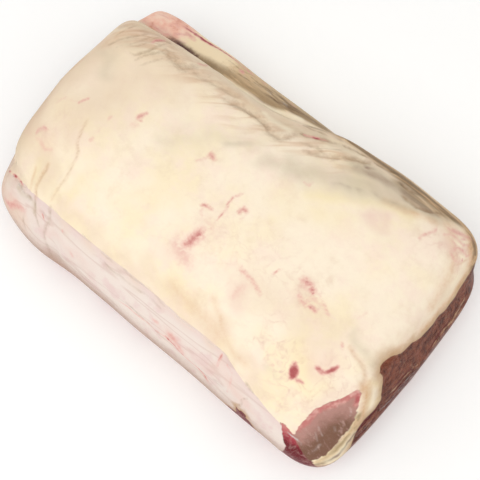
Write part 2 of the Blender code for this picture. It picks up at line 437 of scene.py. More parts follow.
def eye_block(points):
    """The main mass: domed fat cover, sloping flank, and an upright edge beside the lip."""
    x, y, z = points.T
    beside_lip = 1.0 - blend(*LIP_FADES, x)
    flank = mix(*FLANK_REACHES, blend(*FLANK_WIDENS, x))
    lip_side = mix(LIP_SIDE_REACH, EYE_REACH_BESIDE_LIP, beside_lip)
    crown = (HEIGHT - WAIST_HEIGHT) * (1.0 - CROWN_DROP * (x / HALF_LENGTH) ** 2)
    to_lip = blend(*ENDS_CHANGE_ACROSS, y)
    to_top = blend(*ENDS_CHANGE_UP, z)
    near = HALF_LENGTH - NEAR_END_SLANT * np.maximum(-y, 0.0)
    to_flank = FAR_END_SLANTS[0] * np.maximum(-y, 0.0) * blend(*FLANK_SLANT_FROM, z)
    far = HALF_LENGTH + FAR_END_BULGE - to_flank - FAR_END_SLANTS[1] * np.maximum(y, 0.0)
    ones = np.ones(len(x))
    back = np.stack([far, flank, ones * (WAIST_HEIGHT + BASE_BELOW_FLOOR)], 1)
    fore = np.stack([near, lip_side, crown], 1)
    lip_side_power = mix(LIP_SIDE_POWER, EYE_POWER_BESIDE_LIP, beside_lip)
    top_power = np.where(y < 0.0, FLANK_POWER, lip_side_power)
    section_power = np.where(z < WAIST_HEIGHT, BASE_POWER, top_power)
    near_power = mix(mix(*NEAR_END_POWERS, to_lip), NEAR_END_TOP_POWER, to_top)
    far_power = mix(mix(*FAR_END_FLANK_POWERS, to_top), mix(*FAR_END_LIP_POWERS, to_top), to_lip)
    end_power = np.where(x < 0.0, far_power, near_power)
    return crown * superblock(points, (0.0, 0.0, WAIST_HEIGHT), back, fore, section_power, end_power)


def lip_block(points):
    """The lip beside the fat cover, square at its far end and drawn out at its near one."""
    end_power = np.where(points[:, 0] < LIP_CENTRE[0], LIP_FAR_POWER, LIP_NEAR_POWER)
    reaches = (LIP_REACH_BACK, LIP_REACH_FORE)
    return LIP_REACH_FORE[2] * superblock(points, LIP_CENTRE, *reaches, LIP_SECTION_POWER, end_power)


def trim_normal():
    """The unit normal of the plane of the trimmed corner."""
    inner, upper, outer = (Vector(p) for p in (TRIM_INNER, TRIM_UPPER, TRIM_OUTER))
    return (outer - inner).cross(upper - inner).normalized()


def above_trim(points):
    """The height above the plane of the trimmed corner."""
    normal = trim_normal()
    return points @ np.array(normal) - normal.dot(Vector(TRIM_INNER))


def joined(first, second, radius):
    """The union of two forms, with the groove between them rounded."""
    return -radius * np.logaddexp(-first / radius, -second / radius)


def trimmed(form, outside, radius):
    """The form without what lies outside, with the edge of the cut rounded."""
    return radius * np.logaddexp(form / radius, outside / radius)


def roll_form(points):
    """Roughly the distance from the surface of the roll, under 0 inside it."""
    x, _, z = points.T
    rise = np.maximum(z - WAIST_HEIGHT, 0.0)
    near = NEAR_FACE_LEAN * blend(FACE_LEANS_FROM, HALF_LENGTH, x)
    far = FAR_FACE_LEAN * blend(FACE_LEANS_FROM, HALF_LENGTH, -x)
    leaning = points.copy()
    leaning[:, 0] += rise * (near - far)
    whole = joined(eye_block(leaning), lip_block(points), GROOVE_ROUNDING)
    return np.maximum(trimmed(whole, above_trim(points), TRIM_ROUNDING), -z)


def push_to_form(cage):
    """Moves each cage point along its ray from the core to the surface of the roll."""
    low = np.array([-CORE_HALF_LENGTH, -CORE_HALF_WIDTH, CORE_LEVELS[0]])
    high = np.array([CORE_HALF_LENGTH, CORE_HALF_WIDTH, CORE_LEVELS[1]])
    start = np.clip(cage, low, high)
    ray = (cage - start) * RAY_REACH
    inside, outside = np.zeros(len(cage)), np.ones(len(cage))
    for _ in range(RAY_HALVINGS):
        middle = (inside + outside) / 2
        within = roll_form(start + ray * middle[:, None]) < 0.0
        inside = np.where(within, middle, inside)
        outside = np.where(within, outside, middle)
    return start + ray * inside[:, None]


def along_path(points, path):
    """For each point: its distance to the path, its share of the way along, and its side in plan."""
    path = np.asarray(path, float)
    if len(path) == 1:
        # A dot is a path that goes nowhere.
        path = np.repeat(path, 2, axis=0) + [[0, 0, 0], [TINY, 0, 0]]
    best = np.full(len(points), np.inf)
    share, side = np.zeros(len(points)), np.zeros(len(points))
    pieces = len(path) - 1
    for i, (start, end) in enumerate(zip(path[:-1], path[1:])):
        step = end - start
        t = np.clip((points - start) @ step / (step @ step), 0.0, 1.0)
        gap = points - start - t[:, None] * step
        distance = np.linalg.norm(gap, axis=1)
        nearer = distance < best
        best = np.where(nearer, distance, best)
        share = np.where(nearer, (i + t) / pieces, share)
        side = np.where(nearer, step[0] * gap[:, 1] - step[1] * gap[:, 0], side)
    return best, share, np.sign(side)


def lumps(points):
    """The height of the scattered lumps and hollows at each place, in metres."""
    draw = np.random.default_rng(LUMP_SEED)
    height = np.zeros(len(points))
    for _ in range(LUMP_COUNT):
        place = draw.uniform((-HALF_LENGTH, -HALF_WIDTH, LUMPS_ABOVE), (HALF_LENGTH, HALF_WIDTH, HEIGHT))
        radius = draw.uniform(*LUMP_RADII)
        share = np.exp(-(np.linalg.norm(points - place, axis=1) / radius) ** 2)
        height += draw.uniform(-1.0, 1.0) * LUMP_HEIGHT * share
    return height


def furrow(distance, width):
    """1 in the middle of a furrow, falling smoothly to 0 beside it."""
    return np.exp(-2.0 * (distance / width) ** 2)


def relief(points, normals):
    """How far each surface point stands out from the plain form, in metres."""
    distance, share, _ = along_path(points, FLANK_CREASE)
    deep = mix(*FLANK_CREASE_DEPTHS, blend(*FLANK_CREASE_FADES, share))
    flank = deep * furrow(distance, FLANK_CREASE_WIDTH)
    distance, share, _ = along_path(points, SIDE_CREASE)
    low_side = SIDE_CREASE_DEPTH * np.sin(np.pi * share) * furrow(distance, SIDE_CREASE_WIDTH)
    distance, share, side = along_path(points, FOLD)
    fade = 1.0 - blend(*FOLD_FADES, share)
    fold = FOLD_DEPTH * fade * furrow(distance, FOLD_WIDTH)
    beyond = blend(0.0, FOLD_WIDTH, distance) * (1.0 - blend(*FOLD_STEP_ENDS, distance))
    step = FOLD_STEP * fade * beyond * (side > 0.0) * blend(*FOLD_STEP_FACES_UP, normals[:, 2])
    return lumps(points) - np.maximum.reduce([flank, low_side, fold, step])


def rib_channels(points):
    """How far the base is drawn up over each place, in metres."""
    x, y, _ = points.T
    rise = np.zeros(len(points))
    reach = 1.0 - blend(*RIB_CHANNELS_END, np.abs(y))
    for rib in range(RIB_COUNT):
        middle = (rib - (RIB_COUNT - 1) / 2) * RIB_SPACING
        from_middle = x - middle + RIB_BOW * y**2
        rise = np.maximum(rise, 1.0 - blend(0.0, RIB_CHANNEL_WIDTH / 2, np.abs(from_middle)))
    return RIB_CHANNEL_DEPTH * rise * reach


def pulled(points):
    """The points after the small pulls, which fade out towards the floor."""
    moved = points.copy()
    for middle, radius, shift in PULLS.values():
        share = np.exp(-(np.linalg.norm(points - middle, axis=1) / radius) ** 2)
        moved += np.array(shift) * (share * blend(*PULLS_FADE, points[:, 2]))[:, None]
    return moved


def cut_cage(fineness):
    """A unit box cut into a grid on every side, and each face of that into a finer one."""
    bm = bmesh.new()
    bmesh.ops.create_cube(bm, size=2.0)
    for axis, faces in enumerate(CAGE_FACES):
        across = [other for other in range(3) if other != axis]
        parallel = [
            edge
            for edge in bm.edges
            if all(abs(edge.verts[0].co[other] - edge.verts[1].co[other]) < TINY for other in across)
        ]
        bmesh.ops.subdivide_edges(bm, edges=parallel, cuts=faces - 1, use_grid_fill=True)
    bmesh.ops.subdivide_edges(bm, edges=bm.edges[:], cuts=fineness - 1, use_grid_fill=True)
    return bm


def cage_points(unit):
    """The unit cage at the roll's size, with its rows closer together at the height of the lip."""
    level = (unit[:, 2] + 1.0) / 2
    crowd = LIP_ROWS_AT / HEIGHT
    level = level - LIP_ROWS_CLOSENESS * (level - crowd) * level * (1.0 - level)
    return np.stack([unit[:, 0] * HALF_LENGTH, unit[:, 1] * HALF_WIDTH, level * HEIGHT], 1)


def fitted(points):
    """The points at exactly the solid's dimensions, with the middle of their base at the origin."""
    low, high = points.min(axis=0), points.max(axis=0)
    middle = (low + high) / 2
    base = np.array([middle[0], middle[1], low[2]])
    return (points - base) * (np.array([LENGTH, WIDTH, HEIGHT]) / (high - low))


class Skin:
    """A mesh on the form of the roll, with its points and normals as arrays."""

    def __init__(self, name, fineness):
        bm = cut_cage(fineness)
        self.mesh = bpy.data.meshes.new(name)
        bm.to_mesh(self.mesh)
        bm.free()
        unit = self.read(self.mesh.vertices, "co")
        self.move_to(push_to_form(cage_points(unit)))
        on_floor = self.points[:, 2] < FLOOR_SKIN
        points = self.points + self.normals * (relief(self.points, self.normals) * ~on_floor)[:, None]
        points[:, 2] += rib_channels(points) * on_floor
        self.move_to(pulled(fitted(points)))

    @staticmethod
    def read(source, key):
        values = np.empty(len(source) * 3)
        source.foreach_get(key, values)
        return values.reshape(-1, 3)

    def move_to(self, points):
        """Moves the mesh to those points, and reads its new normals."""
        self.points = points
        self.mesh.vertices.foreach_set("co", points.ravel())
        self.mesh.update()
        self.normals = self.read(self.mesh.vertex_normals, "vector")

    def store(self, name, values):
        """Keeps a number for each point, which the finish reads as a field."""
        field = self.mesh.attributes.new(name, "FLOAT", "POINT")
        field.data.foreach_set("value", np.asarray(values, np.float32))

    def to_object(self, material):
        """Makes the mesh a piece that rides the root and stands in the node's place."""
        self.mesh.shade_smooth()
        self.mesh.materials.append(material)
        piece = bpy.data.objects.new(self.mesh.name, self.mesh)
        bpy.context.scene.collection.objects.link(piece)
        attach(piece, "root")
        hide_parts("ribeye_roll")


# ---------------------------------------------------------------------------
# Marks and zones on the meat. Each stroke: half width, softness, strength, points,
# with lengths in millimetres.
# ---------------------------------------------------------------------------

# Paths that more than one table follows.
NUB_FOLD_PATH = ((-132, -64, 85), (-131, -72, 80), (-130, -78, 76), (-128, -83, 73), (-125, -87, 70))
FAR_FOLD_PATH = (
    (-125, -23, 104), (-119, -40, 100), (-112, -49, 98), (-111, -62, 92), (-111, -74, 86),
    (-111, -84, 78),
)
PATCH_SIDE_PATH = ((170, -65, 62), (172, -72, 54), (172, -82, 49), (170, -92, 45), (165, -105, 38))
# The far silhouette, where a thin tan and pink line is partly the film's edge and partly painted shade.
FAR_EDGE_PATH = (
    (-162, 34, 94), (-168, 20, 91), (-171, 4, 88), (-174, -14, 80), (-175, -34, 71), (-172, -48, 66),
    (-166, -66, 60),
)

# Red marks in the fat: dashes, spots and veins.
RED_MARKS = {
    "far dash": (0.9, 1.8, 0.55, ((-141, -14, 102), (-139, -10, 103), (-137, -7, 104))),
    "far dash tail": (0.8, 1.8, 0.28, ((-158, -24, 95), (-153, -17, 98), (-145, -15, 101), (-141, -14, 102))),
    "far loop": (1.3, 2.4, 0.55, ((-158, -50, 82), (-157, -46, 84), (-154, -44, 88), (-149, -43, 90))),
    "far loop end": (1.4, 3.0, 0.34, ((-157, -52, 80), (-151, -53, 83), (-142, -55, 86), (-137, -53, 89))),
    "fold spot": (1.1, 2.2, 0.48, ((-112, -9, 106), (-112, -13, 106))),
    "fold streak": (1.2, 2.4, 0.42, ((-112, -34, 103), (-111, -30, 104))),
    "fold thread": (0.8, 2.5, 0.18, ((-112, -18, 106), (-111, -36, 102))),
    "far blot": (1.5, 2.6, 0.58, ((-93, 10, 108), (-94, 7, 108), (-95, 2, 108), (-92, 2, 108))),
    "far blot tail": (2.4, 4.0, 0.26, ((-96, -6, 107), (-91, -2, 108))),
    "arrow": (1.8, 2.8, 0.56, ((-28, 13, 108), (-33, 14, 108), (-33, 11, 108))),
    "arrow shaft": (1.0, 2.0, 0.42, ((-33, 11, 108), (-36, 6, 108), (-38, 3, 108))),
    "fork": (1.0, 2.0, 0.62, ((6, 4, 109), (3, -3, 108), (3, -9, 108), (5, -15, 108), (5, -24, 107))),
    "fork branch": (1.0, 2.0, 0.46, ((4, -14, 108), (8, -16, 108))),
    "curl": (1.3, 2.2, 0.60, ((-12, -22, 106), (-8, -21, 107), (-3, -21, 107))),
    "curl tail": (1.0, 2.4, 0.34, ((-12, -22, 106), (-9, -27, 106), (-6, -29, 106))),
    "blob": (2.0, 3.2, 0.56, ((14, -10, 108), (15, -6, 109), (18, -6, 109))),
    "blob foot": (1.2, 3.2, 0.25, ((18, -8, 108), (19, -15, 107))),
    "stain": (4.2, 5.0, 0.62, ((2, -37, 105), (0, -45, 103), (-3, -52, 102))),
    "stain halo": (5.0, 9.0, 0.36, ((4, -32, 105), (-6, -56, 100), (6, -60, 99))),
    "left dot": (0.9, 1.6, 0.40, ((-27, -61, 98),)),
    "branch": (1.4, 3.0, 0.48, ((40, -40, 104), (46, -42, 104), (56, -45, 103), (63, -48, 103))),
    "branch stub": (2.6, 4.5, 0.28, ((51, -50, 102), (49, -60, 99))),
    "dot": (0.7, 1.4, 0.36, ((48, -28, 106),)),
    "dash": (0.8, 1.6, 0.52, ((62, -30, 106), (66, -23, 107))),
    "upper comma": (2.8, 3.4, 0.58, ((80, -22, 107), (84, -22, 106), (89, -22, 106), (94, -23, 106))),
    "upper comma tail": (
        1.0, 2.6, 0.40,
        ((92, -20, 107), (100, -22, 106), (106, -26, 106), (110, -30, 105), (115, -34, 105)),
    ),
    "lower comma": (1.6, 2.8, 0.54, ((87, -31, 106), (92, -33, 106), (96, -34, 105), (99, -33, 105))),
    "lower comma head": (1.7, 2.6, 0.72, ((98, -33, 105), (101, -33, 105), (103, -34, 105))),
    "crown fleck": (1.0, 2.5, 0.28, ((129, -19, 104), (132, -11, 104))),
    "corner dashes": (1.1, 2.0, 0.50, ((131, -39, 103), (135, -43, 101))),
    "oval": (3.8, 2.0, 0.82, ((114, -73, 94), (116, -75, 93), (117, -78, 92))),
    "vee": (1.4, 1.7, 0.74, ((126, -63, 97), (130, -63, 97), (134, -63, 96), (137, -62, 96))),
    "vee arm": (1.5, 1.7, 0.84, ((136, -62, 96), (139, -58, 97), (140, -54, 98))),
    "small tail": (1.1, 2.2, 0.62, ((121, -79, 91), (124, -78, 91), (126, -77, 91))),
    "corner vein": (0.8, 1.9, 0.50, ((128, 59, 103), (129, 65, 102), (132, 72, 100), (132, 76, 99))),
    "corner hook": (
        0.9, 1.9, 0.62,
        ((152, 75, 92), (157, 77, 88), (161, 76, 83), (162, 83, 79), (160, 90, 76)),
    ),
    "corner smear": (1.8, 3.4, 0.52, ((141, 82, 94), (145, 84, 92), (152, 89, 86), (157, 92, 79))),
    "side hook": (1.0, 1.8, 0.36, ((36, 40, 109), (41, 40, 109), (42, 44, 109))),
    "far corner streak": (1.2, 2.0, 0.70, ((-131, 60, 103), (-131, 66, 100), (-128, 72, 97))),
    "rim streak": (1.3, 2.0, 0.50, ((-93, 70, 98), (-88, 76, 94))),
    "rim streak end": (1.0, 1.4, 0.60, ((-80, 77, 94), (-76, 78, 94))),
    "side dash": (1.2, 1.4, 0.90, ((9, 75, 99), (14, 77, 99), (20, 80, 98))),
    "side dash end": (0.8, 1.4, 0.50, ((20, 80, 98), (30, 84, 97))),
    "nub seam": (0.8, 0.9, 0.90, ((-168, -78, 48), (-156, -81, 57), (-143, -83, 65))),
    "flank fleck": (1.0, 1.2, 0.65, ((-114, -93, 69), (-111, -95, 68))),
    "flank dot": (0.9, 1.0, 0.60, ((-91, -94, 74), (-90, -95, 73))),
    "flank blush": (1.4, 3.0, 0.34, ((-77, -103, 63), (-74, -104, 60))),
    "flank spot": (1.5, 2.6, 0.40, ((8, -104, 63), (12, -103, 65))),
    "flank smear": (3.0, 6.0, 0.52, ((24, -105, 62), (36, -107, 57))),
    "flank seam": (
        0.7, 1.3, 0.52,
        ((-51, -108, 48), (-28, -107, 55), (-7, -107, 56), (12, -107, 55), (24, -107, 58)),
    ),
    "flank tick": (1.2, 1.3, 0.62, ((67, -95, 78), (67, -99, 74), (68, -103, 68))),
    "flank squiggle": (0.8, 1.4, 0.46, ((74, -99, 75), (82, -100, 73), (82, -104, 68), (83, -110, 52))),
    "nub mottle": (2.6, 5.0, 0.55, ((-156, -98, 44), (-147, -99, 47), (-140, -98, 53), (-132, -97, 57))),
    "nub mottle low": (2.0, 5.0, 0.45, ((-165, -88, 36), (-150, -100, 38))),
    "corner web": (0.8, 1.9, 0.55, ((151, 67, 95), (156, 66, 92), (160, 70, 86))),
    "corner web two": (0.8, 1.8, 0.50, ((151, 69, 94), (152, 75, 92), (147, 77, 94))),
    "lobe vein": (0.5, 1.2, 0.30, ((100, -82, 90), (103, -80, 91), (106, -86, 87))),
    "rim red": (1.2, 1.6, 0.60, ((-91, 76, 95), (-88, 79, 92))),
    "rim red two": (0.9, 1.4, 0.60, ((-80, 77, 94), (-76, 79, 93))),
    "lip inner": (
        0.9, 2.2, 0.62,
        ((-167, 88, 67), (-160, 88, 68), (-151, 87, 69), (-144, 87, 69), (-137, 93, 67), (-130, 98, 66)),
    ),
    "lip outer": (1.4, 2.0, 1.00, ((-140, 104, 63), (-118, 106, 64), (-104, 107, 63), (-88, 107, 63))),
    "lip outer far": (0.8, 1.6, 0.60, ((-172, 94, 62), (-158, 101, 63), (-140, 104, 63))),
    "lip outer near": (0.8, 1.8, 0.75, ((-88, 107, 63), (-60, 108, 62), (-20, 107, 62))),
    "lip blotch": (2.0, 3.6, 0.55, ((-131, 100, 65), (-122, 101, 66))),
    "lip freckle": (1.0, 2.0, 0.50, ((-146, 97, 66),)),
    "lip spot": (1.6, 2.6, 0.60, ((-75, 101, 66), (-71, 102, 66))),
    "upper comma core": (1.1, 2.2, 0.84, ((87, -22, 106), (91, -22, 106), (94, -24, 106))),
    "corner web three": (0.8, 2.0, 0.46, ((140, 76, 97), (147, 81, 92), (155, 80, 89), (158, 86, 84))),
    "flank seam far": (
        1.0, 1.6, 0.70,
        ((20, -107, 58), (32, -108, 55), (47, -108, 50), (56, -109, 48), (62, -110, 45), (70, -111, 40)),
    ),
    "tip spot": (2.2, 4.0, 0.34, ((-155, 88, 68), (-144, 91, 68))),
    "tip spot two": (1.6, 3.0, 0.40, ((-146, 102, 65), (-140, 100, 66))),
    "corner web four": (0.7, 1.8, 0.50, ((150, 80, 93), (153, 86, 88), (158, 89, 81))),
    "patch spot": (1.4, 1.6, 0.85, ((144, -89, 77), (147, -86, 77))),
    "patch spot two": (1.3, 1.6, 0.80, ((163, -58, 79), (164, -61, 76))),
    "stain core": (1.5, 3.0, 0.78, ((3, -36, 105), (1, -43, 104))),
    "corner dot": (1.0, 1.4, 0.85, ((161, 71, 86), (160, 72, 86))),
    "commas halo": (3.6, 6.0, 0.30, ((80, -22, 107), (94, -25, 106), (104, -34, 105))),
}

# Where the fat is stained pink, most of it beside the red marks.
PINK_ZONES = {
    "far loop": (6.0, 10.0, 0.55, ((-156, -48, 84), (-142, -50, 89))),
    "far edge": (6.0, 16.0, 0.75, ((-166, -50, 72), (-176, -20, 78), (-176, 30, 82), (-168, 70, 80))),
    "crown blush": (5.0, 9.0, 0.85, ((92, 49, 107), (101, 51, 107))),
    "near corner": (6.0, 8.0, 0.80, ((144, 66, 97), (152, 72, 93), (158, 79, 87))),
    "branch": (5.0, 10.0, 0.28, ((46, -44, 103), (54, -58, 100))),
    "stain": (8.0, 12.0, 0.30, ((4, -32, 105), (-6, -60, 99))),
    "vee": (5.0, 8.0, 0.45, ((124, -66, 96), (141, -58, 97))),
    "trim": (5.0, 8.0, 0.45, ((136, -90, 80), (150, -62, 88))),
    "commas": (5.0, 8.0, 0.35, ((84, -25, 106), (104, -32, 105))),
    "flank smear": (5.0, 9.0, 0.60, ((20, -106, 60), (62, -106, 62))),
    "flank far": (5.0, 10.0, 0.45, ((-120, -96, 66), (-60, -104, 60))),
    "nub": (10.0, 12.0, 0.65, ((-165, -88, 42), (-140, -98, 52))),
    "far folds": (5.0, 10.0, 0.35, ((-148, 60, 98), (-126, 70, 98))),
    "flank near": (5.0, 9.0, 0.80, ((66, -103, 69), (84, -105, 66), (96, -108, 56), (104, -109, 52))),
    "wedge": (2.5, 4.0, 0.90, ((139, -104, 66), (145, -106, 60), (151, -107, 54))),
    "far edge line": (1.0, 4.0, 0.90, FAR_EDGE_PATH[1:]),
}

# Where the fat is tan: some warmer patches of its own, and painted shade along folds and seams and round the
# rims of the ends and the lip side.
TAN_AND_SHADE_ZONES = {
    "flank tick": (0.9, 2.2, 0.75, ((50, -77, 92), (55, -82, 89), (61, -86, 87))),
    "flank tick tail": (1.5, 4.5, 0.40, ((38, -70, 95), (50, -78, 91), (72, -89, 84), (84, -92, 82))),
    "flank warm": (4.0, 11.0, 0.40, ((10, -80, 89), (40, -84, 88), (62, -88, 86))),
    "near seam": (
        0.9, 2.6, 0.66,
        ((138, -38, 102), (145, -41, 99), (154, -42, 94), (158, -45, 90), (162, -47, 84)),
    ),
    "near seam warm": (
        4.0, 5.0, 0.80,
        ((162, -49, 84), (166, -52, 76), (169, -56, 69), (171, -61, 62), (173, -67, 55)),
    ),
    "nub fold": (1.0, 2.8, 0.62, NUB_FOLD_PATH),
    "nub fold left": (0.9, 2.2, 0.55, ((-140, -72, 77), (-134, -84, 71))),
    "far fold": (0.6, 2.0, 0.42, FAR_FOLD_PATH),
    "near rim": (3.0, 6.0, 0.95, ((166, 84, 70), (169, 66, 69), (171, 48, 66), (170, 30, 71), (168, 11, 75))),
    "near rim end": (2.4, 5.0, 0.65, ((166, 4, 79), (164, -8, 83), (161, -20, 88))),
    "corner line": (0.6, 1.3, 1.00, ((159, 66, 89), (161, 70, 85), (164, 79, 78), (165, 88, 67))),
    "rim inner": (3.0, 8.0, 0.22, ((76, 70, 104), (104, 75, 101), (126, 80, 98))),
    "rim crest": (3.0, 8.0, 0.30, ((-60, 70, 99), (-20, 74, 99), (20, 80, 98))),
    "lip brow": (4.0, 6.0, 0.25, ((-40, 76, 98), (0, 82, 95), (40, 92, 88))),
    "far brow": (4.0, 8.0, 0.40, ((-160, 40, 96), (-152, 58, 96), (-140, 70, 94))),
    "patch side": (
        2.6, 3.0, 0.35,
        ((170, -65, 61), (172, -73, 53), (172, -82, 49), (170, -92, 45), (165, -105, 38)),
    ),
    "grey fringe": (
        3.0, 5.0, 0.62,
        ((90, 68, 104), (100, 71, 103), (110, 73, 102), (120, 77, 100), (128, 80, 98)),
    ),
    "far edge": (1.4, 3.4, 0.60, FAR_EDGE_PATH),
    "near corner": (8.0, 6.0, 1.00, ((146, 99, 78), (154, 94, 78), (160, 86, 78), (166, 80, 69))),
    "corner warm": (
        4.0, 8.0, 0.55,
        ((138, 86, 94), (146, 78, 94), (156, 66, 91), (163, 52, 88), (164, 30, 86)),
    ),
}

# Where the fat is yellower.
YELLOW_ZONES = {
    "beside grey": (
        3.5, 7.0, 0.80,
        ((44, 33, 109), (64, 46, 108), (83, 59, 105), (96, 65, 104), (112, 69, 102)),
    ),
    "crown": (6.0, 14.0, 0.35, ((30, 20, 109), (80, 30, 108))),
    "by the seam": (2.5, 4.0, 0.80, ((163, -45, 84), (167, -40, 76), (171, -38, 64), (173, -45, 56))),
    "lobes": (6.0, 9.0, 0.50, ((110, -62, 99), (134, -80, 88), (140, -70, 93))),
    "nub": (3.0, 5.0, 0.70, ((-141, -66, 83), (-136, -78, 77))),
    "beside fold": (3.0, 6.0, 0.40, ((-100, -60, 96), (-98, -80, 86))),
    "lip brow": (3.0, 6.0, 0.50, ((-70, 66, 101), (-30, 70, 100), (10, 76, 99))),
    "patch side": (2.6, 3.0, 1.00, PATCH_SIDE_PATH),
    "grey fringe": (2.0, 5.0, 1.00, ((90, 66, 104), (102, 71, 103), (112, 74, 101))),
    "near lobe": (3.0, 5.0, 0.80, ((163, -47, 82), (169, -52, 68), (172, -60, 58))),
}

# Where the fat is grey, up to mauve: patches where it is drawn thin over the lean, and painted shade along
# the rim on the lip side and in folds.
GREY_ZONES = {
    "corner": (5.0, 10.0, 0.42, ((-155, 32, 102), (-146, 27, 105), (-140, 18, 105))),
    "corner to rim": (5.0, 12.0, 0.34, ((-146, 48, 103), (-120, 58, 103))),
    "spot": (4.0, 9.0, 0.25, ((-69, 10, 108), (-61, 20, 108))),
    "bar": (3.0, 5.0, 0.60, ((-32, 27, 108), (-25, 32, 107), (-17, 40, 106))),
    "bar haze": (6.0, 10.0, 0.30, ((-66, 1, 108), (-43, 27, 108), (-8, 46, 106))),
    "rim bar": (5.0, 7.0, 0.48, ((2, 37, 108), (12, 42, 108), (23, 47, 108))),
    "wide": (10.0, 9.0, 0.58, ((20, 44, 107), (40, 52, 107), (58, 60, 106), (76, 70, 104), (94, 78, 100))),
    "rim": (8.0, 8.0, 0.78, ((56, 78, 101), (72, 82, 99), (92, 82, 99), (112, 84, 97), (128, 88, 94))),
    "rim dark": (3.4, 7.0, 0.84, ((88, 84, 98), (100, 84, 98), (112, 88, 95), (124, 92, 92), (134, 94, 90))),
    "rim far": (4.0, 9.0, 0.55, ((-10, 70, 101), (20, 82, 96), (50, 88, 94))),
    "gap fold": (2.0, 5.0, 0.55, ((132, -28, 104), (146, -34, 100), (158, -36, 92))),
    "corner lobe": (2.0, 4.0, 0.30, ((96, -84, 89), (108, -84, 88))),
    "low edge": (
        4.0, 7.0, 0.80,
        ((52, 52, 108), (70, 62, 106), (85, 69, 104), (100, 74, 102), (114, 80, 99)),
    ),
    "nub fold": (1.4, 3.0, 0.55, ((-146, -85, 62), (-136, -87, 66), (-128, -90, 68), (-120, -96, 63))),
    "rim spot": (2.6, 3.6, 0.95, ((50, 80, 100), (58, 82, 99), (66, 86, 97))),
    "film band": (
        2.4, 2.4, 1.00,
        ((176, -74, 44), (175, -84, 41), (172, -95, 38), (168, -104, 35), (162, -109, 29)),
    ),
}

# Painted shade of the drawn film's wrinkles, brown with olive creases and lighter painted tops: past the end
# of the flap, along the rim and under the patch.
FILM_SHADE_ZONES = {
    "brow": (3.0, 4.0, 0.85, ((6, 88, 89), (14, 92, 88), (22, 93, 87), (30, 93, 90))),
    "rim": (5.6, 3.0, 1.00, ((12, 100, 72), (22, 97, 82), (38, 97, 86), (55, 99, 85))),
    "under patch": (
        1.2, 1.4, 0.95,
        ((168, -66, 67), (170, -72, 59), (170, -78, 54), (169, -86, 51), (168, -95, 45), (164, -105, 40)),
    ),
    "under corner": (3.0, 4.0, 0.80, ((152, -112, 28), (162, -109, 32), (168, -104, 34))),
    "rim mid": (
        8.0, 4.0, 0.95,
        ((52, 100, 84), (75, 99, 85), (95, 97, 88), (115, 96, 89), (134, 97, 86), (146, 101, 76)),
    ),
    "rim wide": (5.0, 6.0, 0.72, ((90, 89, 94), (104, 87, 96), (118, 89, 94), (130, 91, 91))),
    "near corner": (
        5.6, 4.0, 1.00,
        ((146, 100, 78), (153, 96, 79), (158, 92, 78), (162, 87, 74), (166, 81, 69)),
    ),
    "patch side": (2.2, 3.0, 0.75, PATCH_SIDE_PATH),
}

# Painted highlights in thin lines and spots: the lit edge of the flap, ridges, glints between the marks, and
# a line of film sheen along the near end's hem.
HIGHLIGHT_ZONES = {
    "flap edge far": (1.4, 1.8, 0.80, ((-126, 75, 90), (-116, 78, 86), (-104, 79, 85), (-94, 80, 83))),
    "flap edge": (1.5, 1.8, 0.80, ((-94, 80, 83), (-80, 80, 82), (-57, 80, 81), (-38, 82, 80))),
    "ridge": (2.2, 3.0, 0.70, ((-27, 72, 96), (-14, 70, 99), (-2, 70, 100))),
    "corner glint": (1.0, 1.6, 0.80, ((149, 78, 94), (154, 79, 90))),
    "corner glint two": (1.0, 1.6, 0.90, ((158, 86, 82), (162, 87, 76))),
    "corner glint three": (0.9, 1.6, 0.75, ((154, 84, 88), (156, 88, 84))),
    "patch wedge": (0.9, 1.4, 0.50, ((158, -105, 48), (160, -101, 51), (161, -98, 53))),
    "patch glint": (0.4, 0.8, 0.70, ((164, -68, 71), (166, -70, 67))),
    "patch glint two": (0.4, 0.8, 0.70, ((153, -89, 67), (159, -92, 59))),
    "patch glint three": (0.4, 0.8, 0.50, ((153, -93, 64), (158, -97, 56))),
    "patch glint four": (0.5, 0.8, 0.60, ((162, -82, 64), (164, -83, 60))),
    "side ridges": (1.8, 2.6, 0.50, ((30, 76, 101), (43, 84, 97), (55, 89, 94))),
    "corner glint four": (1.0, 1.0, 0.80, ((156, 72, 90), (160, 73, 86))),
    "flap edge near": (
        1.6, 1.8, 0.95,
        ((-64, 86, 70), (-48, 87, 70), (-36, 90, 68), (-26, 93, 66), (-14, 96, 65), (-9, 97, 65)),
    ),
    "near hem": (
        0.4, 0.8, 0.95,
        (
            (175, -84, 38), (176, -71, 41), (178, -44, 42), (180, -21, 38), (182, 7, 34), (182, 29, 33),
            (182, 47, 35), (180, 64, 39),
        ),
    ),
}

# Where thin pink threads part the fat into lobes.
LOBE_ZONES = {
    "near corner": (12.0, 16.0, 1.00, ((90, -66, 97), (128, -84, 88), (146, -60, 93))),
    "trim side": (6.0, 10.0, 0.80, ((112, -96, 80), (136, -100, 72))),
    "lip corner": (10.0, 12.0, 1.00, ((138, 70, 99), (152, 72, 94), (160, 84, 80))),
    "far corner": (8.0, 14.0, 0.60, ((-156, -48, 84), (-140, -30, 97))),
    "crown": (14.0, 22.0, 0.45, ((20, -30, 107), (90, -24, 107))),
    "flank": (6.0, 12.0, 0.60, ((-120, -98, 64), (-20, -104, 62), (60, -106, 62))),
}
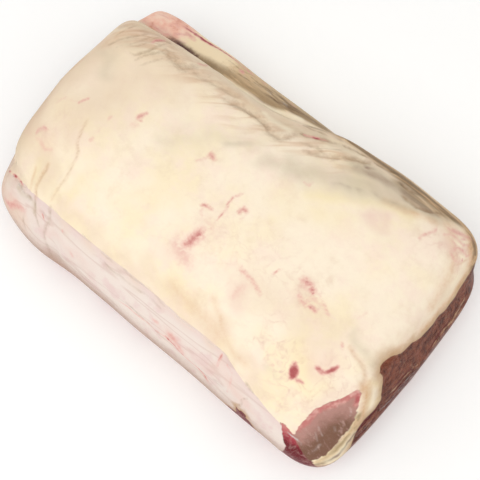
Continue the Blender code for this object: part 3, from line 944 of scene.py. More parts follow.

# Painted shade on the fat cover: where it turns away from the light at the ends, along the rim and the flank
# and in the far corner's wrinkles, and in a few darker patches on top.
SHADE_ZONES = {
    "far end": (24.0, 34.0, 0.90, ((-176, -60, 70), (-170, 10, 96), (-140, 66, 100))),
    "rim": (14.0, 24.0, 0.80, ((-140, 66, 100), (-60, 70, 100), (40, 84, 96), (130, 92, 90))),
    "flank": (6.0, 12.0, 0.60, ((-100, -88, 82), (-20, -86, 86), (60, -88, 86), (110, -96, 78))),
    "near end": (6.0, 12.0, 0.60, ((168, 80, 72), (168, 20, 76), (158, -30, 92))),
    "far top": (20.0, 30.0, 0.80, ((-136, -24, 103), (-124, 24, 107), (-96, 52, 105))),
    "far flank": (12.0, 14.0, 0.60, ((-150, -56, 86), (-128, -70, 83))),
    "near crown": (8.0, 12.0, 0.30, ((84, -30, 106), (104, -36, 105))),
    "near top": (10.0, 24.0, 0.50, ((60, -46, 103), (120, -44, 101))),
    "nub": (8.0, 14.0, 0.70, ((-178, -64, 44), (-160, -90, 44), (-138, -102, 48))),
    "near lobe": (3.0, 7.0, 0.70, ((160, -46, 86), (168, -50, 70), (172, -60, 58))),
    "fan": (12.0, 16.0, 1.00, ((-160, 44, 96), (-140, 66, 100), (-118, 70, 98))),
}

# Where the fat is drawn into fine ripples across the roll.
RIPPLE_ZONES = {
    "far corner": (12.0, 14.0, 1.00, ((-156, 60, 97), (-136, 62, 101), (-114, 62, 102))),
    "rim": (10.0, 16.0, 0.85, ((-100, 60, 103), (-50, 58, 104), (0, 62, 103), (40, 74, 101))),
}

# Thin broken seams of fat where the lean is bare.
SEAMS = {
    "near cap": (0.8, 1.3, 0.90, ((179, 80, 35), (181, 55, 38), (182, 31, 36), (181, 8, 39), (177, -39, 48))),
    "near low": (0.8, 1.6, 0.60, ((180, 84, 16), (183, 40, 20), (182, -20, 22), (178, -84, 18))),
    "near lip": (1.3, 1.8, 0.85, ((182, 56, 33), (183, 66, 18), (180, 78, 4))),
    "near chine": (1.0, 1.6, 0.75, ((180, -60, 35), (182, -74, 20), (178, -88, 4))),
    "far cap": (
        1.0, 1.6, 0.85,
        ((-176, -70, 32), (-182, -30, 40), (-184, 10, 36), (-184, 50, 42), (-176, 84, 48)),
    ),
    "far eye": (0.9, 1.6, 0.75, ((-184, 34, 40), (-184, 56, 24), (-182, 64, 6))),
    "far chine": (0.9, 1.6, 0.75, ((-181, -40, 38), (-181, -58, 20), (-178, -64, 6))),
    "lip side": (
        1.2, 2.6, 0.80,
        ((-160, 113, 14), (-96, 114, 18), (-20, 114, 8), (60, 113, 16), (160, 108, 22)),
    ),
}

# Wet dark streaks along the near end.
DARK_STREAKS = {
    "outer": (1.8, 1.4, 1.00, ((177, -26, 46), (178, -20, 46), (179, -11, 44), (180, -2, 41))),
    "outer end": (2.6, 1.6, 1.00, ((177, -46, 45), (176, -55, 47), (176, -61, 47))),
    "cap": (1.6, 1.6, 0.95, ((180, 8, 42), (181, 20, 39), (180, 31, 40), (181, 42, 37))),
    "edge": (
        2.2, 2.6, 0.80,
        ((180, 86, 28), (183, 50, 26), (182, 1, 30), (181, -27, 35), (178, -67, 36), (175, -92, 28)),
    ),
    "by the strip": (2.4, 1.6, 1.00, ((176, -60, 47), (175, -66, 46), (175, -73, 45))),
    "outer two": (1.6, 1.4, 0.95, ((178, -36, 46), (179, -26, 43), (180, -19, 40))),
}

# Wrinkles: half width, depth in millimetres and under 0 where they stand up, painted shade, points.
WRINKLES = {
    "rim hollow": (3.2, 1.9, 0.60, ((-115, 61, 103), (-107, 59, 104), (-99, 59, 104), (-93, 65, 102))),
    "rim lower": (2.6, 1.2, 0.30, ((-90, 62, 103), (-68, 64, 102), (-50, 68, 100))),
    "long": (
        2.4, 1.8, 0.58,
        ((-54, 57, 103), (-45, 62, 101), (-37, 63, 101), (-27, 64, 100), (-18, 62, 101)),
    ),
    "long turn": (
        2.4, 2.0, 0.55,
        ((-24, 64, 99), (-20, 63, 100), (-13, 59, 102), (-3, 60, 103), (4, 68, 101)),
    ),
    "side brow": (
        1.4, 1.3, 0.95,
        ((7, 74, 100), (15, 77, 99), (21, 80, 98), (30, 84, 97), (39, 88, 94), (49, 91, 92), (58, 93, 91)),
    ),
    "side one": (1.8, 1.2, 0.50, ((20, 61, 105), (31, 66, 104), (38, 71, 103), (44, 76, 101))),
    "side two": (2.2, 1.4, 0.72, ((44, 76, 101), (51, 83, 98), (57, 86, 96), (62, 90, 93))),
    "side three": (1.5, 1.2, 0.85, ((90, 91, 94), (97, 89, 95), (104, 91, 94), (109, 95, 91))),
    "side four": (
        1.3, 1.0, 0.70,
        ((98, 80, 100), (104, 80, 100), (112, 80, 99), (120, 84, 97), (127, 90, 93)),
    ),
    "side five": (1.4, 0.9, 0.50, ((14, 66, 103), (24, 70, 102), (34, 69, 104))),
    "side crest": (1.4, -1.2, 0.0, ((12, 84, 96), (21, 88, 92), (33, 93, 89), (46, 98, 84))),
    "far fold": (0.8, 0.8, 0.26, FAR_FOLD_PATH),
    "nub fold": (1.1, 0.8, 0.26, NUB_FOLD_PATH),
    "near seam": (
        1.4, 0.8, 0.15,
        ((138, -38, 102), (145, -41, 99), (154, -42, 95), (158, -43, 91), (161, -52, 84)),
    ),
    "flank one": (0.7, 0.40, 0.35, ((-59, -95, 77), (-37, -96, 76), (-15, -95, 77), (8, -96, 77))),
    "flank two": (0.6, 0.35, 0.32, ((-60, -91, 80), (-33, -91, 80), (-7, -91, 81), (10, -93, 79))),
    "flank three": (0.7, 0.40, 0.45, ((-20, -106, 60), (10, -108, 55), (40, -109, 52))),
    "flank five": (0.7, 0.40, 0.50, ((44, -109, 46), (59, -110, 44), (67, -111, 43), (75, -112, 40))),
    "nub ridge": (2.2, -0.9, 0.0, ((-150, -92, 55), (-138, -92, 60), (-126, -93, 66))),
    "nub crease": (1.1, 1.0, 0.50, ((-148, -84, 62), (-136, -87, 66), (-128, -90, 69))),
    "lip one": (
        0.6, 0.7, 0.72,
        ((-80, 97, 68), (-68, 98, 67), (-57, 100, 65), (-46, 101, 64), (-34, 101, 64)),
    ),
    "lip two": (
        0.5, 0.6, 0.60,
        ((-62, 95, 68), (-50, 97, 67), (-38, 98, 65), (-26, 101, 64), (-12, 103, 63), (2, 105, 62)),
    ),
    "lip three": (
        0.6, 0.7, 0.72,
        ((-64, 103, 64), (-50, 102, 64), (-36, 104, 62), (-20, 105, 62), (-4, 106, 61)),
    ),
    "lip side one": (1.4, 1.0, 0.40, ((-150, 112, 52), (-90, 114, 44), (-30, 114, 48), (20, 113, 58))),
    "lip side two": (1.6, 1.1, 0.40, ((-60, 114, 30), (0, 114, 36), (60, 113, 52), (110, 110, 56))),
    "flap crest": (
        1.8, -1.4, 0.00,
        ((-126, 75, 90), (-104, 79, 85), (-80, 80, 82), (-57, 80, 81), (-38, 82, 80), (-6, 87, 79)),
    ),
    "fan one": (0.9, 0.8, 0.44, ((-158, 39, 101), (-153, 48, 102), (-146, 58, 102), (-139, 68, 98))),
    "fan two": (0.8, 0.7, 0.39, ((-161, 46, 99), (-157, 59, 98), (-153, 69, 94))),
    "fan three": (0.8, 0.7, 0.42, ((-144, 46, 105), (-137, 52, 105), (-133, 60, 103), (-133, 69, 98))),
    "fan four": (
        1.0, 0.9, 0.55,
        ((-137, 42, 106), (-132, 43, 106), (-127, 51, 105), (-125, 64, 102), (-124, 69, 99)),
    ),
    "fan five": (0.9, 0.8, 0.49, ((-129, 39, 106), (-126, 47, 106), (-121, 56, 104), (-119, 64, 102))),
    "fan six": (0.8, 0.7, 0.36, ((-168, 52, 92), (-162, 60, 95), (-156, 66, 94))),
    "fan seven": (0.8, 0.7, 0.36, ((-150, 40, 104), (-143, 50, 105), (-138, 60, 102), (-136, 68, 98))),
    "fan eight": (0.7, 0.6, 0.34, ((-124, 36, 107), (-119, 46, 106), (-115, 54, 105))),
    "fan curl": (1.0, 0.9, 0.80, ((-131, 64, 102), (-128, 71, 97), (-122, 73, 96))),
    "by corner": (1.4, 0.9, 0.55, ((-119, 64, 102), (-113, 65, 102), (-106, 63, 102))),
    "short": (1.0, 0.7, 0.40, ((-34, 66, 99), (-30, 71, 96))),
    "side upper": (0.8, 0.8, 0.70, ((1, 84, 91), (10, 84, 93), (18, 85, 94), (27, 89, 92))),
    "nub two": (1.0, 0.9, 0.45, ((-129, -86, 71), (-125, -90, 69), (-120, -96, 63), (-112, -100, 59))),
    "nub three": (0.8, 0.7, 0.40, ((-131, -98, 56), (-130, -103, 47), (-124, -107, 43))),
    "nub pleat": (
        1.2, 0.9, 0.48,
        ((-110, -87, 76), (-106, -94, 71), (-106, -102, 58), (-103, -107, 41), (-98, -108, 26)),
    ),
    "near flank": (0.9, 0.6, 0.50, ((94, -100, 74), (97, -101, 73), (101, -102, 72))),
    "near flank low": (0.8, 0.6, 0.42, ((96, -112, 47), (96, -109, 60), (100, -106, 65))),
    "lip six": (0.5, 0.6, 0.55, ((-88, 101, 66), (-76, 102, 66), (-66, 105, 64))),
    "side six": (1.0, 0.8, 0.70, ((57, 94, 90), (67, 92, 91), (76, 94, 90), (82, 98, 87))),
    "side seven": (1.6, 1.1, 0.80, ((51, 84, 97), (56, 85, 96), (59, 89, 94))),
}

# The painted shade in each wrinkle, as a stroke.
SHADES = {
    name: (half * 0.9, half * 1.6, dark, path)
    for name, (half, _, dark, path) in WRINKLES.items()
    if dark
}

# The flap of fat that overhangs the lip: the crest that it is drawn out to, and how far.
FLAP_CREST = ((-116, 78, 92), (-90, 80, 92), (-60, 83, 92), (-30, 84, 92), (-8, 86, 90))
FLAP_REACH = 1.2
FLAP_HALF_WIDTH = 7.0
# Where the lip comes out from under the flap: x, y, and the height that it stays below there.
LIP_STARTS = (
    (-184, 81, 78), (-150, 83, 78), (-112, 84, 78), (-100, 86, 78), (-75, 89, 78), (-56, 91, 78),
    (-42, 91, 78), (-32, 93, 78), (-22, 97, 77), (-4, 100, 77), (10, 102, 77),
)
# The groove that runs along it.
GROOVE = ((-170, 83, 70), (-140, 84, 71), (-100, 86, 70), (-60, 90, 68), (-20, 93, 66), (10, 98, 66))
GROOVE_HALF_WIDTH = 3.0
GROOVE_DEPTH = 2.0
GROOVE_FADES = (0.75, 1.0)
# The lip shows this far along, from this height up, and nearer than this only where it faces
# up. Its edges are this soft, beside the flap and at its top.
LIP_ENDS = (6, 30)
LIP_SHOWS_FROM = (46, 60)
LIP_FACES_UP_FROM = (-100, -70)
LIP_FACES_UP = (0.1, 0.5)
LIP_EDGE = (-1.5, 1.5)
LIP_TOP_EDGE = (-2, 2)
# Where a normal counts as turned to the lip side, to the far end and down, the heights over
# which steep fat is shaded, and where the shade grows less again, and by how much.
TO_LIP_SIDE = (0.35, 0.95)
TO_FAR_END = (0.30, 0.95)
DOWNWARDS = (0.3, 0.8)
STEEP_FROM = (30, 70)
STEEP_LESS_FROM = (84, 92)
STEEP_LESS = 0.7

# The edge of the fat on the near end, seen along the roll, as (y, z).
NEAR_FAT_EDGE = (
    (125, 66), (92, 66), (80, 67), (73, 66), (66, 64), (60, 63), (54, 60), (46, 61), (40, 61), (33, 66),
    (25, 65), (17, 67), (10, 69), (5, 72), (0, 77), (-7, 78), (-12, 79), (-18, 84), (-23, 88), (-28, 89),
    (-32, 88), (-35, 84), (-34, 78), (-35, 72), (-39, 62), (-42, 52), (-51, 49), (-62, 51), (-70, 47),
    (-75, 41), (-84, 27), (-100, 21), (-125, 18),
)
# The same on the far end.
FAR_FAT_EDGE = (
    (125, 40), (100, 44), (86, 58), (60, 64), (30, 60), (0, 62), (-30, 52), (-50, 36), (-75, 26),
    (-125, 24),
)
# Both edges are closed by these two places, below the floor.
BELOW_FLOOR = ((-125, -20), (125, -20))
# The lean patch on the trimmed corner, in order round it, and two of its corners that lie
# along it.
PATCH = (
    (141, -100, 68), (142, -92, 74), (143, -85, 79), (148, -77, 81), (153, -69, 82), (156, -62, 83),
    (159, -55, 84), (163, -55, 80), (165, -59, 75), (167, -64, 70), (170, -69, 61), (170, -77, 56),
    (169, -86, 52), (169, -93, 47), (168, -98, 44), (164, -105, 41), (160, -108, 40), (154, -108, 48),
    (147, -107, 57), (142, -105, 62),
)
PATCH_LENGTHWISE = (0, 9)
# The upper rim of the patch, which is pinker.
PATCH_RIM_PATH = (
    (142, -101, 68), (144, -93, 73), (144, -86, 78), (154, -70, 80), (160, -57, 82), (164, -57, 78),
    (165, -60, 74),
)
# The red lean that shows under the corner, seen across the roll, as (x, z).
CORNER_LEAN = (
    (129, 65), (133, 66), (142, 63), (151, 58), (160, 47), (164, 36), (168, 26), (190, 20), (190, -10),
    (128, -10), (140, 30), (141, 47), (135, 57),
)
# The low edge of the fat along the flank and along the lip side, as (x, z).
FLANK_FAT_EDGE = (
    (-190, 12), (-160, 18), (-140, 10), (-110, 6), (-70, 12), (-30, 5), (0, 12), (30, 7), (60, 12),
    (84, 22), (89, 37), (94, 47), (96, 40), (100, 44), (106, 38), (112, 24), (124, 12), (150, 22),
    (190, 22),
)
LIP_FAT_EDGE = (
    (-190, 30), (-150, 26), (-110, 20), (-60, 12), (-10, 14), (40, 16), (90, 26), (120, 28), (150, 38),
    (190, 46),
)
# The straight edge where the top ply of the bag ends, along the flank.
BAND_EDGE = (
    (-170, -78, 47), (-167, -79, 49), (-156, -81, 57), (-142, -83, 66), (-125, -86, 72), (-112, -87, 76),
    (-94, -89, 79), (-69, -90, 81), (-25, -90, 81), (5, -91, 80), (24, -92, 79), (48, -92, 80),
    (68, -93, 80), (80, -97, 77), (95, -101, 73), (106, -102, 71), (117, -104, 67), (129, -105, 64),
    (143, -106, 60), (166, -107, 34),
)
# A place lies below that edge by its height and, at this share, by how far out it is.
BAND_EDGE_SLANT = 0.6

# How far out each lean begins, and what counts as well outside it.
NEAR_LEAN_FROM = 150
FAR_LEAN_FROM = 160
CORNER_BEYOND = -85
FLANK_BEYOND = -60
LIP_BEYOND = 60
OUTSIDE_LEAN = -20
# The lean on a side is lost where the surface doesn't face that side, and the patch at more
# than this distance from its plane.
FACES_SIDE = (0.25, 0.6)
LOST_OFF_SIDE = 12
PATCH_THICKNESS = 9
LOST_OFF_PLANE = 3.0
# How deep each lean lies below the fat beside it, and over which distance inside its edge.
LEAN_RECESSES = {"near": 0.5, "far": 0.5, "patch": 0.6, "corner": 0.2}
RECESS_EDGE = (-0.5, 1.5)

# How far the strokes, the zones and the edges wander off their paths, in millimetres.
MARK_WAVER = 0.8
STREAK_WAVER = 1.2
SEAM_WAVER = 2.0
GREY_WAVER = 2.0
EDGE_WAVER = 3.0
ZONE_WAVER = 4.0
# A wander is laid together from layers of waves: size in millimetres, share of reach, seed.
WAVER_LAYERS = ((22.0, 1.0, 3), (8.0, 0.3, 5))
WAVER_WAVES = 7
WAVER_SIZES = (0.6, 1.6)

# A stroke's width at its ends as a share of its middle, and how soon it widens from them.
STROKE_END_WIDTH = 0.6
STROKE_TAPER = 0.6
# The softnesses over which a stroke gives way to the next, and what counts as well off it.
STROKE_GIVES_WAY = (-2.5, 1.0)
OFF_STROKE = -4.0
# A furrow's width for each half width of its stroke, and where a wrinkle's ends fade.
FURROW_SPREAD = 1.4
WRINKLE_ENDS = ((0.0, 0.15), (0.85, 1.0))

# The fields that the meat carries: each table, and how far it wanders.
STROKE_FIELDS = {
    "red": (RED_MARKS, MARK_WAVER),
    "shade": (SHADES, MARK_WAVER),
    "seam": (SEAMS, SEAM_WAVER),
    "streak": (DARK_STREAKS, STREAK_WAVER),
}
ZONE_FIELDS = {
    "pink": (PINK_ZONES, ZONE_WAVER),
    "tan": (TAN_AND_SHADE_ZONES, MARK_WAVER),
    "yellow": (YELLOW_ZONES, MARK_WAVER),
    "grey": (GREY_ZONES, GREY_WAVER),
    "brown": (FILM_SHADE_ZONES, MARK_WAVER),
    "pale": (HIGHLIGHT_ZONES, MARK_WAVER),
    "lobe": (LOBE_ZONES, ZONE_WAVER),
    "ripple": (RIPPLE_ZONES, ZONE_WAVER),
    "painted_shade": (SHADE_ZONES, ZONE_WAVER),
}


# ---------------------------------------------------------------------------
# The meat, and the fields that it carries for its finish
# ---------------------------------------------------------------------------


def waver(points, size, reach, seed):
    """A smooth wander for each place, of about that size and reach, from a seeded draw."""
    draw = np.random.default_rng(seed)
    wander = np.zeros_like(points)
    for _ in range(WAVER_WAVES):
        wave = draw.normal(size=3)
        wave *= 2 * np.pi / (np.linalg.norm(wave) * size * draw.uniform(*WAVER_SIZES))
        wander += np.sin(points @ wave + draw.uniform(0, 2 * np.pi))[:, None] * draw.normal(size=3)
    return wander * reach / np.sqrt(WAVER_WAVES)


def wavered(points, reach):
    """The places in millimetres, moved about so that strokes laid on them wander."""
    spots = points / MM
    moved = spots
    for size, share, seed in WAVER_LAYERS:
        moved = moved + waver(spots, size, reach * share, seed)
    return moved


def strokes(points, table, reach):
    """How far inside a stroke each place is, as a share of its softness, and its strength."""
    inside = np.full(len(points), OFF_STROKE)
    strong, most = np.zeros(len(points)), np.zeros(len(points))
    spots = wavered(points, reach)
    for half_width, soft, strength, path in table.values():
        distance, along, _ = along_path(spots, path)
        from_ends = np.abs(np.sin(np.pi * along)) ** STROKE_TAPER
        taper = mix(STROKE_END_WIDTH, 1.0, from_ends) if len(path) > 1 else 1.0
        share = (half_width * taper - distance) / soft
        amount = strength * blend(*STROKE_GIVES_WAY, share)
        inside = np.where(amount > most, share, inside)
        strong = np.where(amount > most, strength, strong)
        most = np.maximum(most, amount)
    return inside, strong


def zones(points, table, reach):
    """The strongest zone at each place, from 0 to 1."""
    amount = np.zeros(len(points))
    spots = wavered(points, reach)
    for half_width, soft, strength, path in table.values():
        closeness = 1.0 - blend(half_width - soft, half_width + soft, along_path(spots, path)[0])
        amount = np.maximum(amount, strength * closeness)
    return amount


def wrinkle_depth(points):
    """How deep the wrinkles are at each place, in metres."""
    depth = np.zeros(len(points))
    spots = wavered(points, MARK_WAVER)
    for half_width, deep, _, path in WRINKLES.values():
        distance, share, _ = along_path(spots, path)
        ends = blend(*WRINKLE_ENDS[0], share) * (1.0 - blend(*WRINKLE_ENDS[1], share))
        depth += deep * MM * furrow(distance, half_width * FURROW_SPREAD) * ends
    return depth


def inside_by(flat, outline):
    """How far each flat point is inside a closed outline, and under 0 outside it."""
    outline = np.asarray(outline, float)
    nearest = np.full(len(flat), np.inf)
    within = np.zeros(len(flat), bool)
    for start, end in zip(outline, np.roll(outline, -1, axis=0)):
        step = end - start
        t = np.clip((flat - start) @ step / (step @ step), 0.0, 1.0)
        nearest = np.minimum(nearest, np.linalg.norm(flat - start - t[:, None] * step, axis=1))
        crosses = (start[1] > flat[:, 1]) != (end[1] > flat[:, 1])
        level = (flat[:, 1] - start[1]) / np.where(step[1] == 0.0, 1.0, step[1])
        within ^= crosses & (flat[:, 0] < start[0] + level * step[0])
    return np.where(within, nearest, -nearest)


def edge_height(place, edge):
    """The height at each place of an edge given as (place, height) pairs."""
    places, heights = np.array(edge).T
    return np.interp(place, places, heights)


def inside_patch(points):
    """How many millimetres each point lies inside the patch, seen square on to its plane."""
    centre = np.mean(PATCH, axis=0)
    first, last = (np.array(PATCH[corner], float) for corner in PATCH_LENGTHWISE)
    along = first - last
    along /= np.linalg.norm(along)
    up = np.array(trim_normal())
    plane = np.stack([along, np.cross(up, along)], 1)
    spots = points / MM - centre
    inside = inside_by(spots @ plane, (np.array(PATCH, float) - centre) @ plane)
    return inside - LOST_OFF_PLANE * np.maximum(np.abs(spots @ up) - PATCH_THICKNESS, 0)


def lean_fields(points, normals):
    """How many millimetres each point lies inside bare lean, and which lean it is."""
    x, y, z = (points / MM).T
    near = inside_by(np.stack([y, z], 1), (*NEAR_FAT_EDGE, *BELOW_FLOOR))
    near = np.minimum(near, x - NEAR_LEAN_FROM)
    corner = np.where(y < CORNER_BEYOND, inside_by(np.stack([x, z], 1), CORNER_LEAN), OUTSIDE_LEAN)
    x, y, z = wavered(points, EDGE_WAVER).T
    far = inside_by(np.stack([y, z], 1), (*FAR_FAT_EDGE, *BELOW_FLOOR))
    far = np.minimum(far, -x - FAR_LEAN_FROM)
    off_side = LOST_OFF_SIDE * (1 - blend(*FACES_SIDE, np.abs(normals[:, 1])))
    flank = np.where(y < FLANK_BEYOND, edge_height(x, FLANK_FAT_EDGE) - z, OUTSIDE_LEAN) - off_side
    lip = np.where(y > LIP_BEYOND, edge_height(x, LIP_FAT_EDGE) - z, OUTSIDE_LEAN) - off_side
    patch = inside_patch(points)
    return {"near": near, "far": far, "patch": patch, "corner": corner, "flank": flank, "lip": lip}


def below_band_edge(points):
    """How many millimetres each point lies below the edge of the top ply."""
    spots = points / MM
    distance, _, _ = along_path(spots, BAND_EDGE)
    x, y, z = spots.T
    edge = np.array(BAND_EDGE, float)
    level = np.interp(x, edge[:, 0], edge[:, 2])
    reach = np.interp(x, edge[:, 0], edge[:, 1])
    lower = (level - z) - (y - reach) * BAND_EDGE_SLANT
    return np.where(lower > 0, distance, -distance)


def flap_reach(points):
    """How far the edge of the flap is drawn out over the lip at each place, in metres."""
    distance, share, _ = along_path(points / MM, FLAP_CREST)
    flap = np.sqrt(np.sin(np.pi * share))
    return FLAP_REACH * MM * flap * furrow(distance, FLAP_HALF_WIDTH * FURROW_SPREAD)


def groove_depth(points):
    """How deep the groove beside the lip is at each place, in metres."""
    distance, share, _ = along_path(points / MM, GROOVE)
    groove = furrow(distance, GROOVE_HALF_WIDTH * FURROW_SPREAD) * (1.0 - blend(*GROOVE_FADES, share))
    return GROOVE_DEPTH * MM * groove


def lip_fields(points, normals):
    """How far across the lip each place is, in millimetres, and how much of the lip shows there."""
    x, y, z = (points / MM).T
    places, starts, tops = np.array(LIP_STARTS, float).T
    across = y - np.interp(x, places, starts)
    below = 1.0 - blend(*LIP_TOP_EDGE, z - np.interp(x, places, tops))
    lip = blend(*LIP_EDGE, across) * below * blend(*LIP_SHOWS_FROM, z) * (1.0 - blend(*LIP_ENDS, x))
    facing_up = blend(*LIP_FACES_UP, normals[:, 2])
    return across, lip * mix(1.0, facing_up, blend(*LIP_FACES_UP_FROM, x))


def steep_fat_shade(points, normals):
    """How much painted shade the steep fat takes on the lip side and the far end, from 0 to 1, and less by
    the top.
    """
    z = points[:, 2] / MM
    steep = np.maximum(blend(*TO_LIP_SIDE, normals[:, 1]), blend(*TO_FAR_END, -normals[:, 0]))
    return steep * blend(*STEEP_FROM, z) * (1.0 - blend(*STEEP_LESS_FROM, z) * STEEP_LESS)


def store_tables(skin, base):
    """Gives the mesh a field for each table of strokes or zones."""
    for name, (table, reach) in STROKE_FIELDS.items():
        inside, strong = strokes(base, table, reach)
        skin.store(name, inside)
        skin.store(name + "_strength", strong)
    for name, (table, reach) in ZONE_FIELDS.items():
        skin.store(name, zones(base, table, reach))


def make_meat():
    """The meat inside the bag, with its wrinkles and with the fields for its finish."""
    skin = Skin("meat", MEAT_FINENESS)
    base, normals = skin.points, skin.normals
    lean = lean_fields(base, normals)
    recess = sum(deep * MM * blend(*RECESS_EDGE, lean[name]) for name, deep in LEAN_RECESSES.items())
    inward = BAG_GAP + wrinkle_depth(base) + recess + groove_depth(base)
    points = base - normals * inward[:, None]
    points[:, 1] += flap_reach(base)
    skin.move_to(points)
    store_tables(skin, base)
    across, lip = lip_fields(base, normals)
    skin.store("patch", lean["patch"])
    skin.store("corner", np.maximum(lean["corner"], lean["flank"]))
    skin.store("across", across)
    skin.store("lip", lip)
    skin.store("rim_gap", along_path(base / MM, PATCH_RIM_PATH)[0])
    skin.store("lean", np.maximum.reduce(list(lean.values())))
    skin.store("beside", np.maximum.reduce([lean[name] for name in ("near", "far", "flank", "lip")]))
    skin.store("band", below_band_edge(base))
    skin.store("under", blend(*DOWNWARDS, -normals[:, 2]))
    skin.store("steep", steep_fat_shade(base, normals))
    skin.to_object(meat_finish())


# ---------------------------------------------------------------------------
# The finish of the meat
# ---------------------------------------------------------------------------

MEAT_BUMP = 0.0022
MEAT_SPECULAR = 0.03
FAT_ROUGHNESS = 0.52
LEAN_SMOOTHER_BY = 0.14
# The way that the ripples of the far corner run.
FAN_WAY = math.radians(-39.0)
# How far from bare lean the tan edge of the fat reaches, in millimetres; the tan is partly the fat's own and
# partly painted shade where it rounds over.
TAN_EDGE = (-11.0, 0.5)
# The heights below which painted shade darkens the fat under the top ply, where the flank turns under.
BAND_SHADE_HEIGHTS = (0.018, 0.054)
# Where the lip changes along the roll: its pink tip, its cream, its tan, its drawn streaks, its painted
# shadow, and the painted shade in the groove beside it.
LIP_TIP_ENDS = (-0.134, -0.124)
LIP_CREAM_ENDS = (-0.092, -0.074)
LIP_TAN_ENDS = (-0.070, -0.030)
LIP_DRAWN_FROM = (-0.096, -0.064)
LIP_SHADOW_FROM = (-0.150, -0.125)
GROOVE_SHADE_FROM = (-0.142, -0.132)
GROOVE_SHADE_TO = (-0.116, -0.104)
# The heights below which the lean under the corner is redder, and then darker.
CORNER_RED_BELOW = 0.066
CORNER_BLOOD_BELOW = 0.060

# The fat cover, the band of it under the top ply, and the lines and zones on it, with painted shade and a
# painted highlight among them.
CREAM = tone(250, 236, 214)
BUTTER = tone(248, 232, 200)
ROSY_CREAM = tone(248, 228, 210)
# A duller fat, laid both in random mottling and as painted shade.
MOTTLE_AND_SHADE_FAT = tone(230, 208, 182)
BAND_WHITE = tone(234, 220, 211)
BAND_PINK = tone(229, 207, 201)
BAND_MAUVE = tone(230, 210, 204)
BAND_LOW_SHADE = tone(182, 152, 136)
BAND_LINE = tone(196, 164, 152)
LOBE_LINE = tone(226, 194, 176)
SHADED_FAT = tone(206, 184, 150)
FAN_LINE = tone(214, 180, 150)
HIGHLIGHT_CREAM = tone(252, 240, 214)
YELLOW = tone(240, 222, 164)
PINK = tone(228, 190, 178)
TAN = tone(214, 164, 118)
TAN_AND_SHADE_EDGE = tone(190, 154, 116)
GREY = tone(200, 187, 162)
MAUVE = tone(160, 134, 118)
OLIVE_SHADE = tone(140, 116, 88)
WRINKLE_SHADE = tone(158, 128, 98)
# The marks, at their rims and in their middles.
PALE_RED = tone(226, 170, 160)
DEEP_RED = tone(172, 86, 88)
# The lip beside the flap, and the painted shade in the groove between them.
GROOVE_SHADE = tone(104, 76, 72)
LIP_PINK = tone(242, 192, 172)
LIP_PALE = tone(246, 212, 192)
LIP_RED = tone(222, 158, 140)
LIP_CREAM = tone(244, 224, 190)
LIP_TAN = tone(216, 188, 152)
LIP_BROWN = tone(196, 172, 140)
LIP_WRINKLE_SHADE = tone(108, 82, 62)
# Bare lean on the ends and under the corner, and the patch on the trimmed corner.
LEAN_BROWN = tone(133, 75, 56)
LEAN_DARK = tone(76, 34, 24)
LEAN_RED = tone(170, 72, 80)
LEAN_WET = tone(88, 8, 14)
LEAN_BLOOD = tone(112, 42, 48)
LEAN_FIBRE = tone(160, 110, 88)
PATCH_MAUVE = tone(182, 138, 128)
PATCH_BROWN = tone(128, 94, 78)
PATCH_RIM = tone(222, 168, 158)
PATCH_BLOOD = tone(200, 124, 120)
SEAM_FAT = tone(206, 172, 134)
MEMBRANE = tone(206, 172, 162)
# The bag where it is milky, also laid on the lean as a painted film highlight.
FILM_AND_HIGHLIGHT_WHITE = tone(244, 240, 236)


